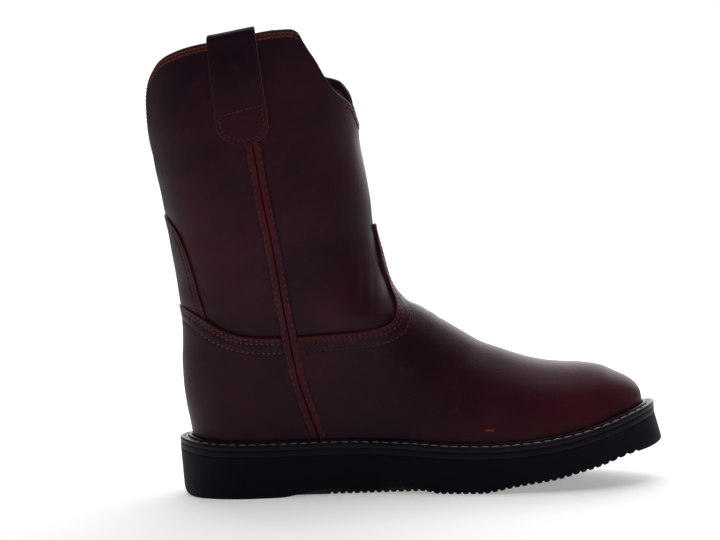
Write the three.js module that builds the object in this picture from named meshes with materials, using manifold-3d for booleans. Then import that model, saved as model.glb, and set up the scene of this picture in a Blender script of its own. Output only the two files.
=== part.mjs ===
// Roper boot, left foot, empty and standing on its sole. Millimetres, toe to +X, inner side to -Y, +Z up.
import * as THREE from 'three';
import { mergeVertices } from 'three/addons/utils/BufferGeometryUtils.js';
import Module from 'manifold-3d';

const wasm = await Module();
wasm.setup();

// Driving sizes
const soleLength = 312;
const ballWidth = 106;
const upperHeight = 265;
const shaftWidth = 104;
const heelStack = 35;

// Layers and clearances
const gap = 0.3;
const weltGap = 0.45;
const insoleGap = 1.5;
const weltThickness = 3.4;
const midsoleThickness = 3.7;
const insoleThickness = 3;
const leatherWall = 2.4;
const overlayThickness = 2;
const stayThickness = 1.3;
const seamThickness = 1.8;
const seamWidth = 8.5;
const strapThickness = 3;
const treadPitch = 4.7;
const treadDepth = 1.2;
const treadLand = 2.4;
const soleSideTaper = 1.2;
const weltReach = 10.5;
const waistReach = 8.5;

// Resolution of the grids
const ringColumns = 42;
const shaftRings = 9;

// Top of the welt over the floor. Columns: length share, share of the heel stack
const weltRows = [
  [-0.5, 0.99], [-0.42, 1.01], [-0.32, 0.99], [-0.18, 0.97], [-0.09, 0.94], [-0.01, 0.91],
  [0.07, 0.865], [0.154, 0.85], [0.234, 0.885], [0.317, 0.99], [0.397, 1.17], [0.45, 1.33], [0.5, 1.48],
];
// Ground side of the outsole: rounded heel, flat heel, low arch, flat forefoot, toe spring. Same columns
const groundRows = [
  [-0.5, 0.26], [-0.495, 0.14], [-0.487, 0.055], [-0.471, 0.012], [-0.452, 0], [-0.285, 0],
  [-0.24, 0.05], [-0.2, 0.095], [-0.15, 0.13], [-0.09, 0.13], [-0.045, 0.105], [-0.01, 0.075],
  [0.025, 0.03], [0.048, 0], [0.135, 0], [0.16, 0.03], [0.192, 0.085], [0.224, 0.13], [0.279, 0.2],
  [0.333, 0.315], [0.381, 0.42], [0.426, 0.57], [0.465, 0.66], [0.484, 0.73], [0.5, 0.86],
];
// Footprint of the upper before its ends are rounded. Columns: length share, inner and outer share of ball width
const footRows = [
  [-0.468, 0.283, 0.283], [-0.353, 0.288, 0.292], [-0.24, 0.264, 0.297], [-0.112, 0.217, 0.311],
  [0, 0.274, 0.4], [0.08, 0.335, 0.452], [0.16, 0.366, 0.46], [0.256, 0.364, 0.43],
  [0.353, 0.34, 0.37], [0.458, 0.3, 0.3],
];
// Back line of the upper. Columns: share of the upper's height, length share
const backRows = [
  [-0.019, -0.468], [0.015, -0.468], [0.046, -0.471], [0.094, -0.4775], [0.148, -0.4815],
  [0.196, -0.482], [0.245, -0.479], [0.295, -0.478], [0.343, -0.4835], [0.419, -0.4905],
  [0.47, -0.4965], [0.52, -0.502], [0.57, -0.5105], [0.62, -0.517], [0.668, -0.5245], [0.718, -0.53],
  [0.768, -0.5355], [0.853, -0.539], [1.023, -0.54],
];
// Front line of the upper from the toe over the instep to the collar
// Columns: length share, rise above the welt as a share of the upper's height
const frontRows = [
  [0.4577, -0.012], [0.4577, 0.017], [0.455, 0.035], [0.4495, 0.05], [0.4385, 0.067], [0.42, 0.087],
  [0.4, 0.106], [0.381, 0.123], [0.341, 0.144], [0.3, 0.157], [0.258, 0.171], [0.2165, 0.188],
  [0.1755, 0.209], [0.134, 0.228], [0.093, 0.257], [0.051, 0.287], [0.0115, 0.314], [-0.0175, 0.329],
  [-0.0405, 0.36], [-0.0515, 0.385], [-0.057, 0.409], [-0.066, 0.458], [-0.0753, 0.507],
  [-0.0775, 0.533], [-0.08, 0.582], [-0.0853, 0.63], [-0.0913, 0.68], [-0.097, 0.728],
  [-0.0975, 0.778], [-0.0985, 0.86], [-0.099, 1.03],
];
// Half width of the shaft. Columns: share of the upper's height, share of shaft width
const shaftRows = [
  [-0.019, 0.33], [0.208, 0.37], [0.283, 0.39], [0.358, 0.41], [0.434, 0.433], [0.51, 0.457],
  [0.623, 0.481], [0.717, 0.495], [0.853, 0.505], [1.023, 0.51],
];
// Height of the collar round half its edge
// Columns: share of the way from back to front, share of the upper's height
const collarRows = [
  [0, 0.717], [0.03, 0.737], [0.06, 0.796], [0.09, 0.851], [0.125, 0.887], [0.17, 0.912],
  [0.21, 0.932], [0.26, 0.947], [0.35, 0.964], [0.46, 0.976], [0.54, 0.986], [0.6, 0.994],
  [0.64, 0.992], [0.668, 0.972], [0.7, 0.93], [0.74, 0.892], [0.785, 0.862], [0.835, 0.834],
  [0.905, 0.805], [1, 0.777],
];
// Rings of the foot
// Columns: share of the upper's height at the back, share of the front line from toe to ankle,
// share of the sole's curve that the ring follows
const ringRows = [
  [-0.013, 0, 1], [0.013, 0.03, 1], [0.038, 0.06, 0.95], [0.06, 0.1, 0.85], [0.083, 0.145, 0.7],
  [0.105, 0.2, 0.55], [0.128, 0.265, 0.4], [0.152, 0.33, 0.3], [0.178, 0.405, 0.2],
  [0.204, 0.48, 0.12], [0.23, 0.555, 0.06], [0.256, 0.63, 0], [0.283, 0.705, 0], [0.309, 0.78, 0],
  [0.34, 0.85, 0], [0.374, 0.915, 0], [0.411, 1, 0],
];

// Height of a share of the upper, measured from the heel seat, and back again
const heightOf = (share) => heelStack + share * upperHeight;
const shareOf = (z) => (z - heelStack) / upperHeight;
const ankleHeight = heightOf(0.434);

// Smooth line through a table's rows that doesn't overshoot. Column is the value to read
function readTable(rows, at, column = 1) {
  const last = rows.length - 1;
  if (at <= rows[0][0]) return rows[0][column];
  if (at >= rows[last][0]) return rows[last][column];
  let i = 0;
  while (at > rows[i + 1][0]) i += 1;
  const slopeOf = (k) => (rows[k + 1][column] - rows[k][column]) / (rows[k + 1][0] - rows[k][0]);
  const tangentAt = (k) => {
    if (k === 0) return slopeOf(0);
    if (k === last) return slopeOf(last - 1);
    const before = slopeOf(k - 1);
    const after = slopeOf(k);
    return before * after <= 0 ? 0 : (2 * before * after) / (before + after);
  };
  const span = rows[i + 1][0] - rows[i][0];
  const t = (at - rows[i][0]) / span;
  const a = rows[i][column];
  const b = rows[i + 1][column];
  return a * (1 + 2 * t) * (1 - t) ** 2 + b * t * t * (3 - 2 * t)
    + span * (tangentAt(i) * t * (1 - t) ** 2 - tangentAt(i + 1) * t * t * (1 - t));
}

const mix = (a, b, t) => a + (b - a) * t;
const clamp01 = (t) => Math.min(1, Math.max(0, t));
const ease = (from, to, at) => {
  const t = clamp01((at - from) / (to - from));
  return t * t * (3 - 2 * t);
};
const roundEnd = (distance, radius, power) => (1 - (1 - clamp01(distance / radius)) ** power) ** (1 / power);

const weltTop = (x) => heelStack * readTable(weltRows, x / soleLength);
const groundLine = (x) => heelStack * readTable(groundRows, x / soleLength);
const backX = (z) => soleLength * readTable(backRows, shareOf(z));
const shaftHalf = (z) => shaftWidth * readTable(shaftRows, shareOf(z));

// The front line as a dense run of side view points, read by way, by length or by height
const frontPlace = ([x, rise]) => new THREE.Vector3(x * soleLength, 0, weltTop(x * soleLength) + rise * upperHeight);
const frontCurve = new THREE.CatmullRomCurve3(frontRows.map(frontPlace), false, 'centripetal');
const frontPoints = frontCurve.getSpacedPoints(480);
const frontWays = [0];
for (let i = 1; i < frontPoints.length; i += 1) {
  frontWays.push(frontWays[i - 1] + frontPoints[i].distanceTo(frontPoints[i - 1]));
}
function frontAlong(way) {
  let i = 0;
  while (i < frontPoints.length - 2 && frontWays[i + 1] < way) i += 1;
  const t = (way - frontWays[i]) / (frontWays[i + 1] - frontWays[i]);
  return frontPoints[i].clone().lerp(frontPoints[i + 1], t);
}
function frontX(z) {
  let i = 0;
  while (i < frontPoints.length - 2 && frontPoints[i + 1].z < z) i += 1;
  const t = (z - frontPoints[i].z) / (frontPoints[i + 1].z - frontPoints[i].z);
  return mix(frontPoints[i].x, frontPoints[i + 1].x, clamp01(t));
}
function ridgeZ(x) {
  let i = 0;
  while (i < frontPoints.length - 2 && frontPoints[i + 1].x > x) i += 1;
  const t = (frontPoints[i].x - x) / (frontPoints[i].x - frontPoints[i + 1].x);
  return mix(frontPoints[i].z, frontPoints[i + 1].z, clamp01(t));
}
const ankleWay = frontWays[frontPoints.findIndex((p) => p.z > ankleHeight)];

// Rounding of the ends seen from above and over the top of the foot
const heelRound = 40;
const shaftRound = 69;
const toeRound = 50;
const endPower = 2.1;
const toePower = 2.25;
const archPower = 2.3;
const footTop = heightOf(0.21);
const shaftStart = heightOf(0.49);

// Half width of the boot at a side view point. Side is -1 for the inner half and 1 for the outer
function halfWidth(x, z, side) {
  const foot = ballWidth * readTable(footRows, x / soleLength, side < 0 ? 1 : 2);
  const body = mix(foot, shaftHalf(z), ease(0, 0.4 * upperHeight, z - weltTop(x)));
  const backSpan = x - backX(z);
  const back = roundEnd(backSpan, mix(heelRound, shaftRound, ease(heightOf(0.02), heightOf(0.6), z)), endPower);
  const rise = clamp01((z - weltTop(x)) / Math.max(0.01, ridgeZ(x) - weltTop(x)));
  const toe = roundEnd(frontPoints[0].x - x, toeRound, toePower);
  const overFoot = toe * (1 - rise ** archPower) ** (1 / endPower);
  const overShaft = roundEnd(frontX(z) - x, shaftRound, endPower);
  const footShare = 1 - ease(footTop, shaftStart, z);
  return body * back * overFoot ** footShare * overShaft ** (1 - footShare);
}

// Side view path of one ring, t from 0 at the back to 1 at the front. Ring is a whole or part number
const footRings = ringRows.length - 1;
function footPath(ring, t) {
  const row = Math.min(ring, footRings);
  const rows = ringRows.map((r, i) => [i, ...r]);
  const backHeight = heightOf(readTable(rows, row, 1));
  const front = frontAlong(ankleWay * readTable(rows, row, 2));
  const follow = readTable(rows, row, 3);
  const start = backX(backHeight);
  const x = mix(start, front.x, t);
  const sole = weltTop(x) - mix(weltTop(start), weltTop(front.x), t);
  return [x, mix(backHeight, front.z, t) + follow * sole];
}
function ringPath(ring, t) {
  if (ring <= footRings) return footPath(ring, t);
  const share = (ring - footRings) / shaftRings;
  const [lowX, lowZ] = footPath(footRings, t);
  const around = Math.acos(1 - 2 * t) / Math.PI;
  const z = mix(lowZ, heightOf(readTable(collarRows, around)), share);
  return [mix(backX(z), frontX(z), t), z];
}

// One ring of the last, evenly spaced round: inner side from back to front, then the outer side back again
function ringPoints(ring, columns) {
  const half = [];
  const steps = 160;
  for (const side of [-1, 1]) {
    const points = [];
    for (let i = 0; i <= steps; i += 1) {
      const t = (1 - Math.cos((Math.PI * i) / steps)) / 2;
      const [x, z] = ringPath(ring, t);
      const y = i === 0 || i === steps ? 0 : side * halfWidth(x, z, side);
      points.push(new THREE.Vector3(x, y, z));
    }
    const ways = [0];
    for (let i = 1; i <= steps; i += 1) ways.push(ways[i - 1] + points[i].distanceTo(points[i - 1]));
    const spaced = [];
    let k = 0;
    for (let i = 0; i <= columns / 2; i += 1) {
      const way = (ways[steps] * i) / (columns / 2);
      while (k < steps - 1 && ways[k + 1] < way) k += 1;
      spaced.push(points[k].clone().lerp(points[k + 1], (way - ways[k]) / (ways[k + 1] - ways[k])));
    }
    half.push(spaced);
  }
  return [...half[0].slice(0, -1), ...half[1].slice(1).reverse()];
}

// The last as a grid of points with outward normals
const lastRings = [];
for (let ring = 0; ring <= footRings + shaftRings; ring += 1) lastRings.push(ringPoints(ring, ringColumns));
const lastNormals = lastRings.map((points, r) => points.map((point, c) => {
  const around = points[(c + 1) % ringColumns].clone().sub(points[(c + ringColumns - 1) % ringColumns]);
  const above = lastRings[Math.min(r + 1, lastRings.length - 1)][c];
  const below = lastRings[Math.max(r - 1, 0)][c];
  const normal = around.cross(above.clone().sub(below)).normalize();
  if (r < 2) normal.setZ(0).normalize();
  return normal;
}));

// Mesh builder helpers: a list of points and triangles turned into a closed solid
function solidFrom(points, triangles) {
  const geometry = new THREE.BufferGeometry();
  geometry.setAttribute('position', new THREE.Float32BufferAttribute(points.flatMap((p) => [p.x, p.y, p.z]), 3));
  geometry.setIndex(triangles.flat());
  const mesh = new wasm.Mesh({
    numProp: 3,
    vertProperties: new Float32Array(geometry.attributes.position.array),
    triVerts: new Uint32Array(geometry.index.array),
  });
  return new wasm.Manifold(mesh);
}
function quad(list, a, b, c, d) {
  list.push([a, b, c], [a, c, d]);
}

// Shell between two distances from the last, from one ring up to another
function lastShell(inside, outside, fromRing = 0, toRing = lastRings.length - 1) {
  const points = [];
  const layerStart = [];
  for (const distance of [outside, inside]) {
    layerStart.push(points.length);
    for (let r = fromRing; r <= toRing; r += 1) {
      for (let c = 0; c < ringColumns; c += 1) {
        points.push(lastRings[r][c].clone().addScaledVector(lastNormals[r][c], distance));
      }
    }
  }
  const triangles = [];
  const at = (layer, r, c) => layerStart[layer] + (r - fromRing) * ringColumns + (c % ringColumns);
  for (let r = fromRing; r < toRing; r += 1) {
    for (let c = 0; c < ringColumns; c += 1) {
      quad(triangles, at(0, r, c), at(0, r, c + 1), at(0, r + 1, c + 1), at(0, r + 1, c));
      quad(triangles, at(1, r, c), at(1, r + 1, c), at(1, r + 1, c + 1), at(1, r, c + 1));
    }
  }
  for (let c = 0; c < ringColumns; c += 1) {
    quad(triangles, at(0, fromRing, c + 1), at(0, fromRing, c), at(1, fromRing, c), at(1, fromRing, c + 1));
    quad(triangles, at(0, toRing, c), at(0, toRing, c + 1), at(1, toRing, c + 1), at(1, toRing, c));
  }
  return solidFrom(points, triangles);
}

// A side view outline pushed through the whole width of the boot
function sidePrism(outline, fromY = -ballWidth, toY = ballWidth) {
  const shape = new THREE.Shape(outline.map(([x, z]) => new THREE.Vector2(x, z)));
  const geometry = new THREE.ExtrudeGeometry(shape, { depth: toY - fromY, bevelEnabled: false, steps: 1 });
  geometry.rotateX(Math.PI / 2);
  geometry.translate(0, toY, 0);
  geometry.deleteAttribute('normal');
  geometry.deleteAttribute('uv');
  const merged = mergeVertices(geometry, 1e-4);
  return new wasm.Manifold(new wasm.Mesh({
    numProp: 3,
    vertProperties: new Float32Array(merged.attributes.position.array),
    triVerts: new Uint32Array(merged.index.array),
  }));
}

// Plan outline of the foot and of the sole round it, as loops with matching points
const planColumns = 72;
const footLoop = ringPoints(0, planColumns);
function offsetLoop(loop, reach) {
  return loop.map((point, i) => {
    const along = loop[(i + 1) % loop.length].clone().sub(loop[(i + loop.length - 1) % loop.length]);
    const out = new THREE.Vector3(along.y, -along.x, 0).normalize();
    return point.clone().addScaledVector(out, typeof reach === 'function' ? reach(point) : reach);
  });
}
const soleReach = (p) => {
  const waist = Math.exp(-(((p.x + 0.12 * soleLength) / (0.13 * soleLength)) ** 2));
  const toe = ease(0.25 * soleLength, 0.45 * soleLength, p.x);
  return mix(mix(weltReach, waistReach, waist), soleLength / 2 - frontPoints[0].x, toe);
};
const soleLoop = offsetLoop(footLoop, soleReach);

// Edge of a loop on one side at a length, found between its points
function edgeY(loop, x, side) {
  const half = loop.length / 2;
  const run = [];
  for (let i = 0; i <= half; i += 1) run.push(side < 0 ? loop[i] : loop[(loop.length - i) % loop.length]);
  let i = 0;
  while (i < run.length - 2 && run[i + 1].x < x) i += 1;
  const t = clamp01((x - run[i].x) / Math.max(1e-6, run[i + 1].x - run[i].x));
  return mix(run[i].y, run[i + 1].y, t);
}

// Lengthwise stations of a sole layer, closer together where the ends turn
const endTurn = 16;
function soleStations(loop, extra = []) {
  const half = loop.length / 2;
  const start = loop[0].x;
  const end = loop[half].x;
  const list = [...extra];
  for (let i = 0; i <= half; i += 1) list.push(loop[i].x);
  const ends = list.filter((x) => x < start + endTurn || x > end - endTurn);
  const inner = extra.length > 0 ? extra : list.filter((x) => x >= start + endTurn && x <= end - endTurn);
  const sorted = [...ends, ...inner].sort((a, b) => a - b);
  return sorted.filter((x, i) => i === 0 || x - sorted[i - 1] > 0.25);
}

// A sole layer lofted through rectangular stations between two height lines
function soleLayer(loop, stations, lowLine, highLine, taper) {
  const points = [];
  for (const x of stations) {
    for (const [side, z, inset] of [[-1, lowLine(x), taper], [1, lowLine(x), taper], [1, highLine(x), 0], [-1, highLine(x), 0]]) {
      const edge = edgeY(loop, x, side);
      points.push(new THREE.Vector3(x, edge - side * Math.min(inset, Math.abs(edge) * 0.5) + side * 0.01, z));
    }
  }
  const triangles = [];
  for (let i = 0; i < stations.length - 1; i += 1) {
    for (let k = 0; k < 4; k += 1) {
      const next = (k + 1) % 4;
      quad(triangles, i * 4 + k, i * 4 + next, i * 4 + 4 + next, i * 4 + 4 + k);
    }
  }
  const last = (stations.length - 1) * 4;
  quad(triangles, 0, 3, 2, 1);
  quad(triangles, last, last + 1, last + 2, last + 3);
  return solidFrom(points, triangles);
}

// Outsole with a cross ribbed tread from the waist to the toe
const ribStart = -0.19 * soleLength;
const ribEnd = 0.45 * soleLength;
const ribCount = Math.floor((ribEnd - ribStart) / treadPitch);
const ribStations = [];
const grooveAt = new Set();
for (let i = 0; i < ribCount; i += 1) {
  const x = ribStart + i * treadPitch;
  const slope = (treadPitch - treadLand) / 2;
  ribStations.push(x, x + treadLand, x + treadLand + slope);
  grooveAt.add(x + treadLand + slope);
}
const heelStations = [];
for (const [share] of groundRows) {
  if (share * soleLength < ribStart - 1 || share * soleLength > ribEnd + 1) heelStations.push(share * soleLength);
}
heelStations.push(-0.35 * soleLength, -0.42 * soleLength);
const outsoleTop = (x) => weltTop(x) - weltThickness - midsoleThickness - 2 * gap;
const treadLine = (x) => groundLine(x) + (grooveAt.has(x) ? treadDepth : 0);
const outsole = soleLayer(soleLoop, soleStations(soleLoop, [...heelStations, ...ribStations]), treadLine, outsoleTop, soleSideTaper);

// Midsole
const midsoleLow = (x) => weltTop(x) - weltThickness - midsoleThickness - gap;
const midsoleHigh = (x) => weltTop(x) - weltThickness - gap;
const midsole = soleLayer(soleLoop, soleStations(soleLoop), midsoleLow, midsoleHigh, 0);

// Insole, a sheet on the midsole inside the wall of the upper
const insoleLoop = offsetLoop(footLoop, -(leatherWall + insoleGap));
const insole = soleLayer(insoleLoop, soleStations(insoleLoop), (x) => midsoleHigh(x) + gap,
  (x) => midsoleHigh(x) + gap + insoleThickness, 0);

// Welt, a ring round the foot of the upper
function weltRing() {
  const inner = offsetLoop(footLoop, weltGap);
  const points = [];
  const count = footLoop.length;
  for (const [loop, drop] of [[soleLoop, 0], [inner, 0], [inner, weltThickness], [soleLoop, weltThickness]]) {
    for (const p of loop) points.push(new THREE.Vector3(p.x, p.y, weltTop(p.x) - drop));
  }
  const triangles = [];
  for (let i = 0; i < count; i += 1) {
    const j = (i + 1) % count;
    for (let k = 0; k < 4; k += 1) {
      const next = ((k + 1) % 4) * count;
      quad(triangles, k * count + i, k * count + j, next + j, next + i);
    }
  }
  return solidFrom(points, triangles);
}
const welt = weltRing();

// Upper, one hollow solid, open at the collar and underneath
const upper = lastShell(-leatherWall, 0);

// Side view lines that divide the overlays. Columns: length share, share of the upper's height
const seamRows = [
  [-0.183, 0.013], [-0.204, 0.078], [-0.22, 0.141], [-0.237, 0.257], [-0.251, 0.374], [-0.262, 0.471],
  [-0.272, 0.556], [-0.281, 0.64], [-0.289, 0.719],
];
const overlayTop = [
  [-0.56, 0.332], [-0.487, 0.33], [-0.459, 0.318], [-0.434, 0.302], [-0.412, 0.288], [-0.39, 0.277],
  [-0.359, 0.266], [-0.3275, 0.26], [-0.2855, 0.256], [-0.2445, 0.256], [-0.2035, 0.257],
  [-0.163, 0.259], [-0.1225, 0.262], [-0.083, 0.266], [-0.062, 0.272],
];
const tongueEdge = [
  [-0.048, 0.29], [-0.044, 0.315], [-0.0495, 0.349], [-0.057, 0.383], [-0.067, 0.431],
  [-0.0755, 0.474], [-0.081, 0.5], [-0.078, 0.514], [0.02, 0.519],
];
const stayEdge = [
  [-0.56, 0.561], [-0.515, 0.556], [-0.505, 0.551], [-0.496, 0.536], [-0.486, 0.508], [-0.4755, 0.474],
  [-0.4655, 0.426], [-0.4575, 0.378], [-0.451, 0.334], [-0.446, 0.308],
];
const place = ([x, share]) => [x * soleLength, heightOf(share)];
const seamX = (z) => soleLength * readTable(seamRows.map(([x, share]) => [share, x]), shareOf(z));

// The line of the welt top with a small clearance, from one length to another
function aboveWelt(from, to, steps) {
  const line = [];
  for (let i = 0; i <= steps; i += 1) {
    const x = mix(from, to, i / steps);
    line.push([x, weltTop(x) + gap]);
  }
  return line;
}
// The seam as a run of points moved sideways, from the welt up to the overlay line or to the strap
const crossingShare = 0.2555;
const seamFoot = seamX(heightOf(0.015));
const seamSteps = [0.05, 0.095, 0.14, 0.185, 0.22, crossingShare, 0.32, 0.39, 0.47, 0.55, 0.63, 0.717];
function seamLine(shift, topShare) {
  const bottom = weltTop(seamFoot) + gap;
  const heights = [bottom, ...seamSteps.filter((h) => h <= topShare).map(heightOf)];
  return heights.map((z) => [seamX(z) + shift, z]);
}
const seamHalf = seamWidth / 2;

const counterOutline = [
  ...overlayTop.filter(([x]) => x < -0.27).map(place),
  ...seamLine(-seamHalf - gap, crossingShare).reverse(),
  ...aboveWelt(seamFoot - seamHalf - gap, -0.56 * soleLength, 10).slice(1),
];
const vampOutline = [
  ...seamLine(seamHalf + gap, crossingShare),
  ...overlayTop.filter(([x]) => x > -0.22).map(place),
  ...tongueEdge.map(place),
  [0.6 * soleLength, heightOf(0.5)],
  ...aboveWelt(0.6 * soleLength, seamFoot + seamHalf + gap, 22).slice(0, -1),
];
const stayLow = overlayTop.filter(([x]) => x < -0.45).map(place).map(([x, z]) => [x, z + gap]).reverse();
const stayOutline = [...stayEdge.slice(0, -1).map(place), ...stayLow];
const seamOutline = [...seamLine(-seamHalf, 0.717), ...seamLine(seamHalf, 0.717).reverse()];

const overlayShell = lastShell(gap, gap + overlayThickness, 1, footRings + 3);
const counter = overlayShell.intersect(sidePrism(counterOutline));
const vamp = overlayShell.intersect(sidePrism(vampOutline));
const backStay = lastShell(gap, gap + stayThickness, footRings - 5, footRings + 4).intersect(sidePrism(stayOutline));
const seamShell = lastShell(gap, gap + seamThickness, 1, footRings + 8);
const seamInner = seamShell.intersect(sidePrism(seamOutline, -ballWidth, 0));
const seamOuter = seamShell.intersect(sidePrism(seamOutline, 0, ballWidth));

// Pull strap, a loop of leather over the collar: an outside leg with a rounded end and a short inside leg
const strapTop = heightOf(1.007);
const strapLow = heightOf(0.725);
const strapInsideLow = heightOf(0.887);
const strapRise = 4;
const strapEndRound = 14;
const strapEdge = 1.5;
const strapShareTop = [-0.382, -0.284];
const strapShareLow = [-0.367, -0.262];
function strapSurface(x, z, side, distance) {
  const point = (a, b) => new THREE.Vector3(a, side * halfWidth(a, b, side), b);
  const middle = point(x, z);
  const along = point(x + 1, z).sub(point(x - 1, z));
  const up = point(x, z + 1).sub(point(x, z - 1));
  const normal = along.cross(up).normalize();
  if (normal.y * side < 0) normal.negate();
  return middle.addScaledVector(normal, distance);
}
const collarLevel = heightOf(0.887);
function collarAt(x) {
  const span = clamp01((x - backX(collarLevel)) / (frontX(collarLevel) - backX(collarLevel)));
  return heightOf(readTable(collarRows, Math.acos(1 - 2 * span) / Math.PI));
}
function pullStrap(side) {
  const across = 10;
  const points = [];
  const inner = leatherWall + gap;
  let endSection = [];
  for (let i = 0; i <= across; i += 1) {
    const s = i / across;
    const topX = soleLength * mix(strapShareTop[0], strapShareTop[1], s);
    const lowX = soleLength * mix(strapShareLow[0], strapShareLow[1], s);
    const collar = collarAt(topX) + 2 * gap;
    const top = collar + strapRise;
    const endLift = strapEndRound * (1 - Math.sqrt(1 - 0.96 * Math.abs(2 * s - 1) ** 2.4));
    const low = strapLow + endLift;
    const at = (z) => mix(lowX, topX, clamp01((z - strapLow) / (strapTop - strapLow)));
    const section = [
      [gap, low], [gap + strapThickness, low + gap], [gap + strapThickness, mix(low, top, 0.3)],
      [gap + strapThickness, mix(low, top, 0.65)], [gap + strapThickness, top - strapEdge], [gap + strapThickness - strapEdge, top],
      [-inner - strapThickness + strapEdge, top], [-inner - strapThickness, top - strapEdge],
      [-inner - strapThickness, strapInsideLow], [-inner, strapInsideLow], [-inner, collar], [gap, collar],
      [gap, mix(low, top, 0.65)], [gap, mix(low, top, 0.3)],
    ];
    endSection = section;
    for (const [distance, z] of section) points.push(strapSurface(at(z), z, side, distance));
  }
  const count = 14;
  const triangles = [];
  for (let i = 0; i < across; i += 1) {
    for (let k = 0; k < count; k += 1) {
      const next = (k + 1) % count;
      quad(triangles, i * count + k, i * count + next, (i + 1) * count + next, (i + 1) * count + k);
    }
  }
  const face = THREE.ShapeUtils.triangulateShape(endSection.map(([d, z]) => new THREE.Vector2(d, z)), []);
  for (const [a, b, c] of face) {
    triangles.push([c, b, a]);
    const end = across * count;
    triangles.push([end + a, end + b, end + c]);
  }
  const turned = side > 0 ? triangles : triangles.map(([a, b, c]) => [c, b, a]);
  return solidFrom(points, turned);
}
const strapInner = pullStrap(-1);
const strapOuter = pullStrap(1);

// Name, colour and finish of each piece
const group = new THREE.Group();
group.name = 'roper_boot';
function addPiece(name, solid, colour, roughness) {
  const mesh = solid.getMesh();
  const geometry = new THREE.BufferGeometry();
  geometry.setAttribute('position', new THREE.Float32BufferAttribute(mesh.vertProperties, 3));
  geometry.setIndex(new THREE.Uint32BufferAttribute(mesh.triVerts, 1));
  geometry.translate(originShiftX, originShiftY, 0);
  geometry.computeVertexNormals();
  const piece = new THREE.Mesh(geometry, new THREE.MeshStandardMaterial({ color: colour, roughness, metalness: 0 }));
  piece.name = name;
  group.add(piece);
}
const everything = [outsole, midsole, welt, insole, upper, vamp, counter, backStay, seamInner, seamOuter, strapInner, strapOuter];
const low = [Infinity, Infinity];
const high = [-Infinity, -Infinity];
for (const solid of everything) {
  const box = solid.boundingBox();
  for (const axis of [0, 1]) {
    low[axis] = Math.min(low[axis], box.min[axis]);
    high[axis] = Math.max(high[axis], box.max[axis]);
  }
}
const originShiftX = -(low[0] + high[0]) / 2;
const originShiftY = -(low[1] + high[1]) / 2;

addPiece('outsole', outsole, '#17131a', 0.75);
addPiece('midsole', midsole, '#1d191e', 0.7);
addPiece('welt', welt, '#221c20', 0.6);
addPiece('insole', insole, '#6b4a33', 0.85);
addPiece('upper', upper, '#34171c', 0.5);
addPiece('vamp', vamp, '#3d1a1e', 0.45);
addPiece('counter', counter, '#36181c', 0.5);
addPiece('back_stay', backStay, '#36181c', 0.5);
addPiece('side_seam_inner', seamInner, '#4a1f20', 0.55);
addPiece('side_seam_outer', seamOuter, '#4a1f20', 0.55);
addPiece('pull_strap_inner', strapInner, '#38191d', 0.5);
addPiece('pull_strap_outer', strapOuter, '#38191d', 0.5);

export default group;
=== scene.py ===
# %% [markdown]
# A pull-on roper boot, dressed round a frame of plain solids. The frame gives the real sizes and places, and
# this script makes each surface again with its seams, threads, grain and wear. A boot is made on a last, so the
# lesson starts with the last too: one function that says how wide the boot is at every point of its side view.

# %% Load the frame
import math
import bmesh
import bpy
import numpy as np
from mathutils import Matrix, Vector


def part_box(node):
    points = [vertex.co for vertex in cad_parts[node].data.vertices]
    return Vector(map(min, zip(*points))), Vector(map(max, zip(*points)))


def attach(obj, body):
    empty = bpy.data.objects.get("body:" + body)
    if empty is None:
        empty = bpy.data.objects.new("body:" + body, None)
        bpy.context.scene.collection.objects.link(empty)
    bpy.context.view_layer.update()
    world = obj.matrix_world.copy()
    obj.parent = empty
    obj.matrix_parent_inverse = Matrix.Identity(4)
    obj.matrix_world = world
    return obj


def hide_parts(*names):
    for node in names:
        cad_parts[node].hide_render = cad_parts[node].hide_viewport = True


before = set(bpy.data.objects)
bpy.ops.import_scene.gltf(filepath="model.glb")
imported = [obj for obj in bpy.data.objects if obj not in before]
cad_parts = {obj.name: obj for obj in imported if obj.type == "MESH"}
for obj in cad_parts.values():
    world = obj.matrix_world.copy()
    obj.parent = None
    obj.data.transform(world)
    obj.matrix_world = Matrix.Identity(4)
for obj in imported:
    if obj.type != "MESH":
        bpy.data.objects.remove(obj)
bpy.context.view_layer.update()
print("nodes in the frame:", len(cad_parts))

# %% [markdown]
# A last maker works from a few sizes: the length of the sole, the width at the ball, the height of the leg and
# of the heel. Everything else here is a share of them, in short tables. The tables could be traced curves, but
# shares keep the form when a size changes, and they can be read aloud: at this share of the length, that share
# of the width.

# %% Sizes in metres
MM = 0.001
SOLE_LENGTH = 0.312
BALL_WIDTH = 0.106
UPPER_HEIGHT = 0.265
SHAFT_WIDTH = 0.104
HEEL_STACK = 0.035
GAP = 0.3 * MM
LEATHER_WALL = 2.4 * MM
OVERLAY = 2.0 * MM
STAY = 0.9 * MM
SEAM_RISE = 1.8 * MM
SEAM_WIDTH = 10.4 * MM
STRAP = 3.0 * MM
WELT = 3.4 * MM
MIDSOLE = 3.7 * MM
INSOLE = 3.0 * MM
WELT_REACH = 10.5 * MM
WAIST_REACH = 8.5 * MM

# Top of the welt over the floor. Columns: length share, share of the heel stack
WELT_ROWS = [
    (-0.5, 1.095), (-0.475, 1.07), (-0.45, 1.035), (-0.42, 1.01), (-0.37, 0.995), (-0.32, 0.985),
    (-0.18, 0.97), (-0.09, 0.94), (-0.01, 0.91),
    (0.07, 0.865), (0.154, 0.85), (0.234, 0.885), (0.317, 0.99), (0.397, 1.17), (0.45, 1.33), (0.5, 1.48),
]
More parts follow.
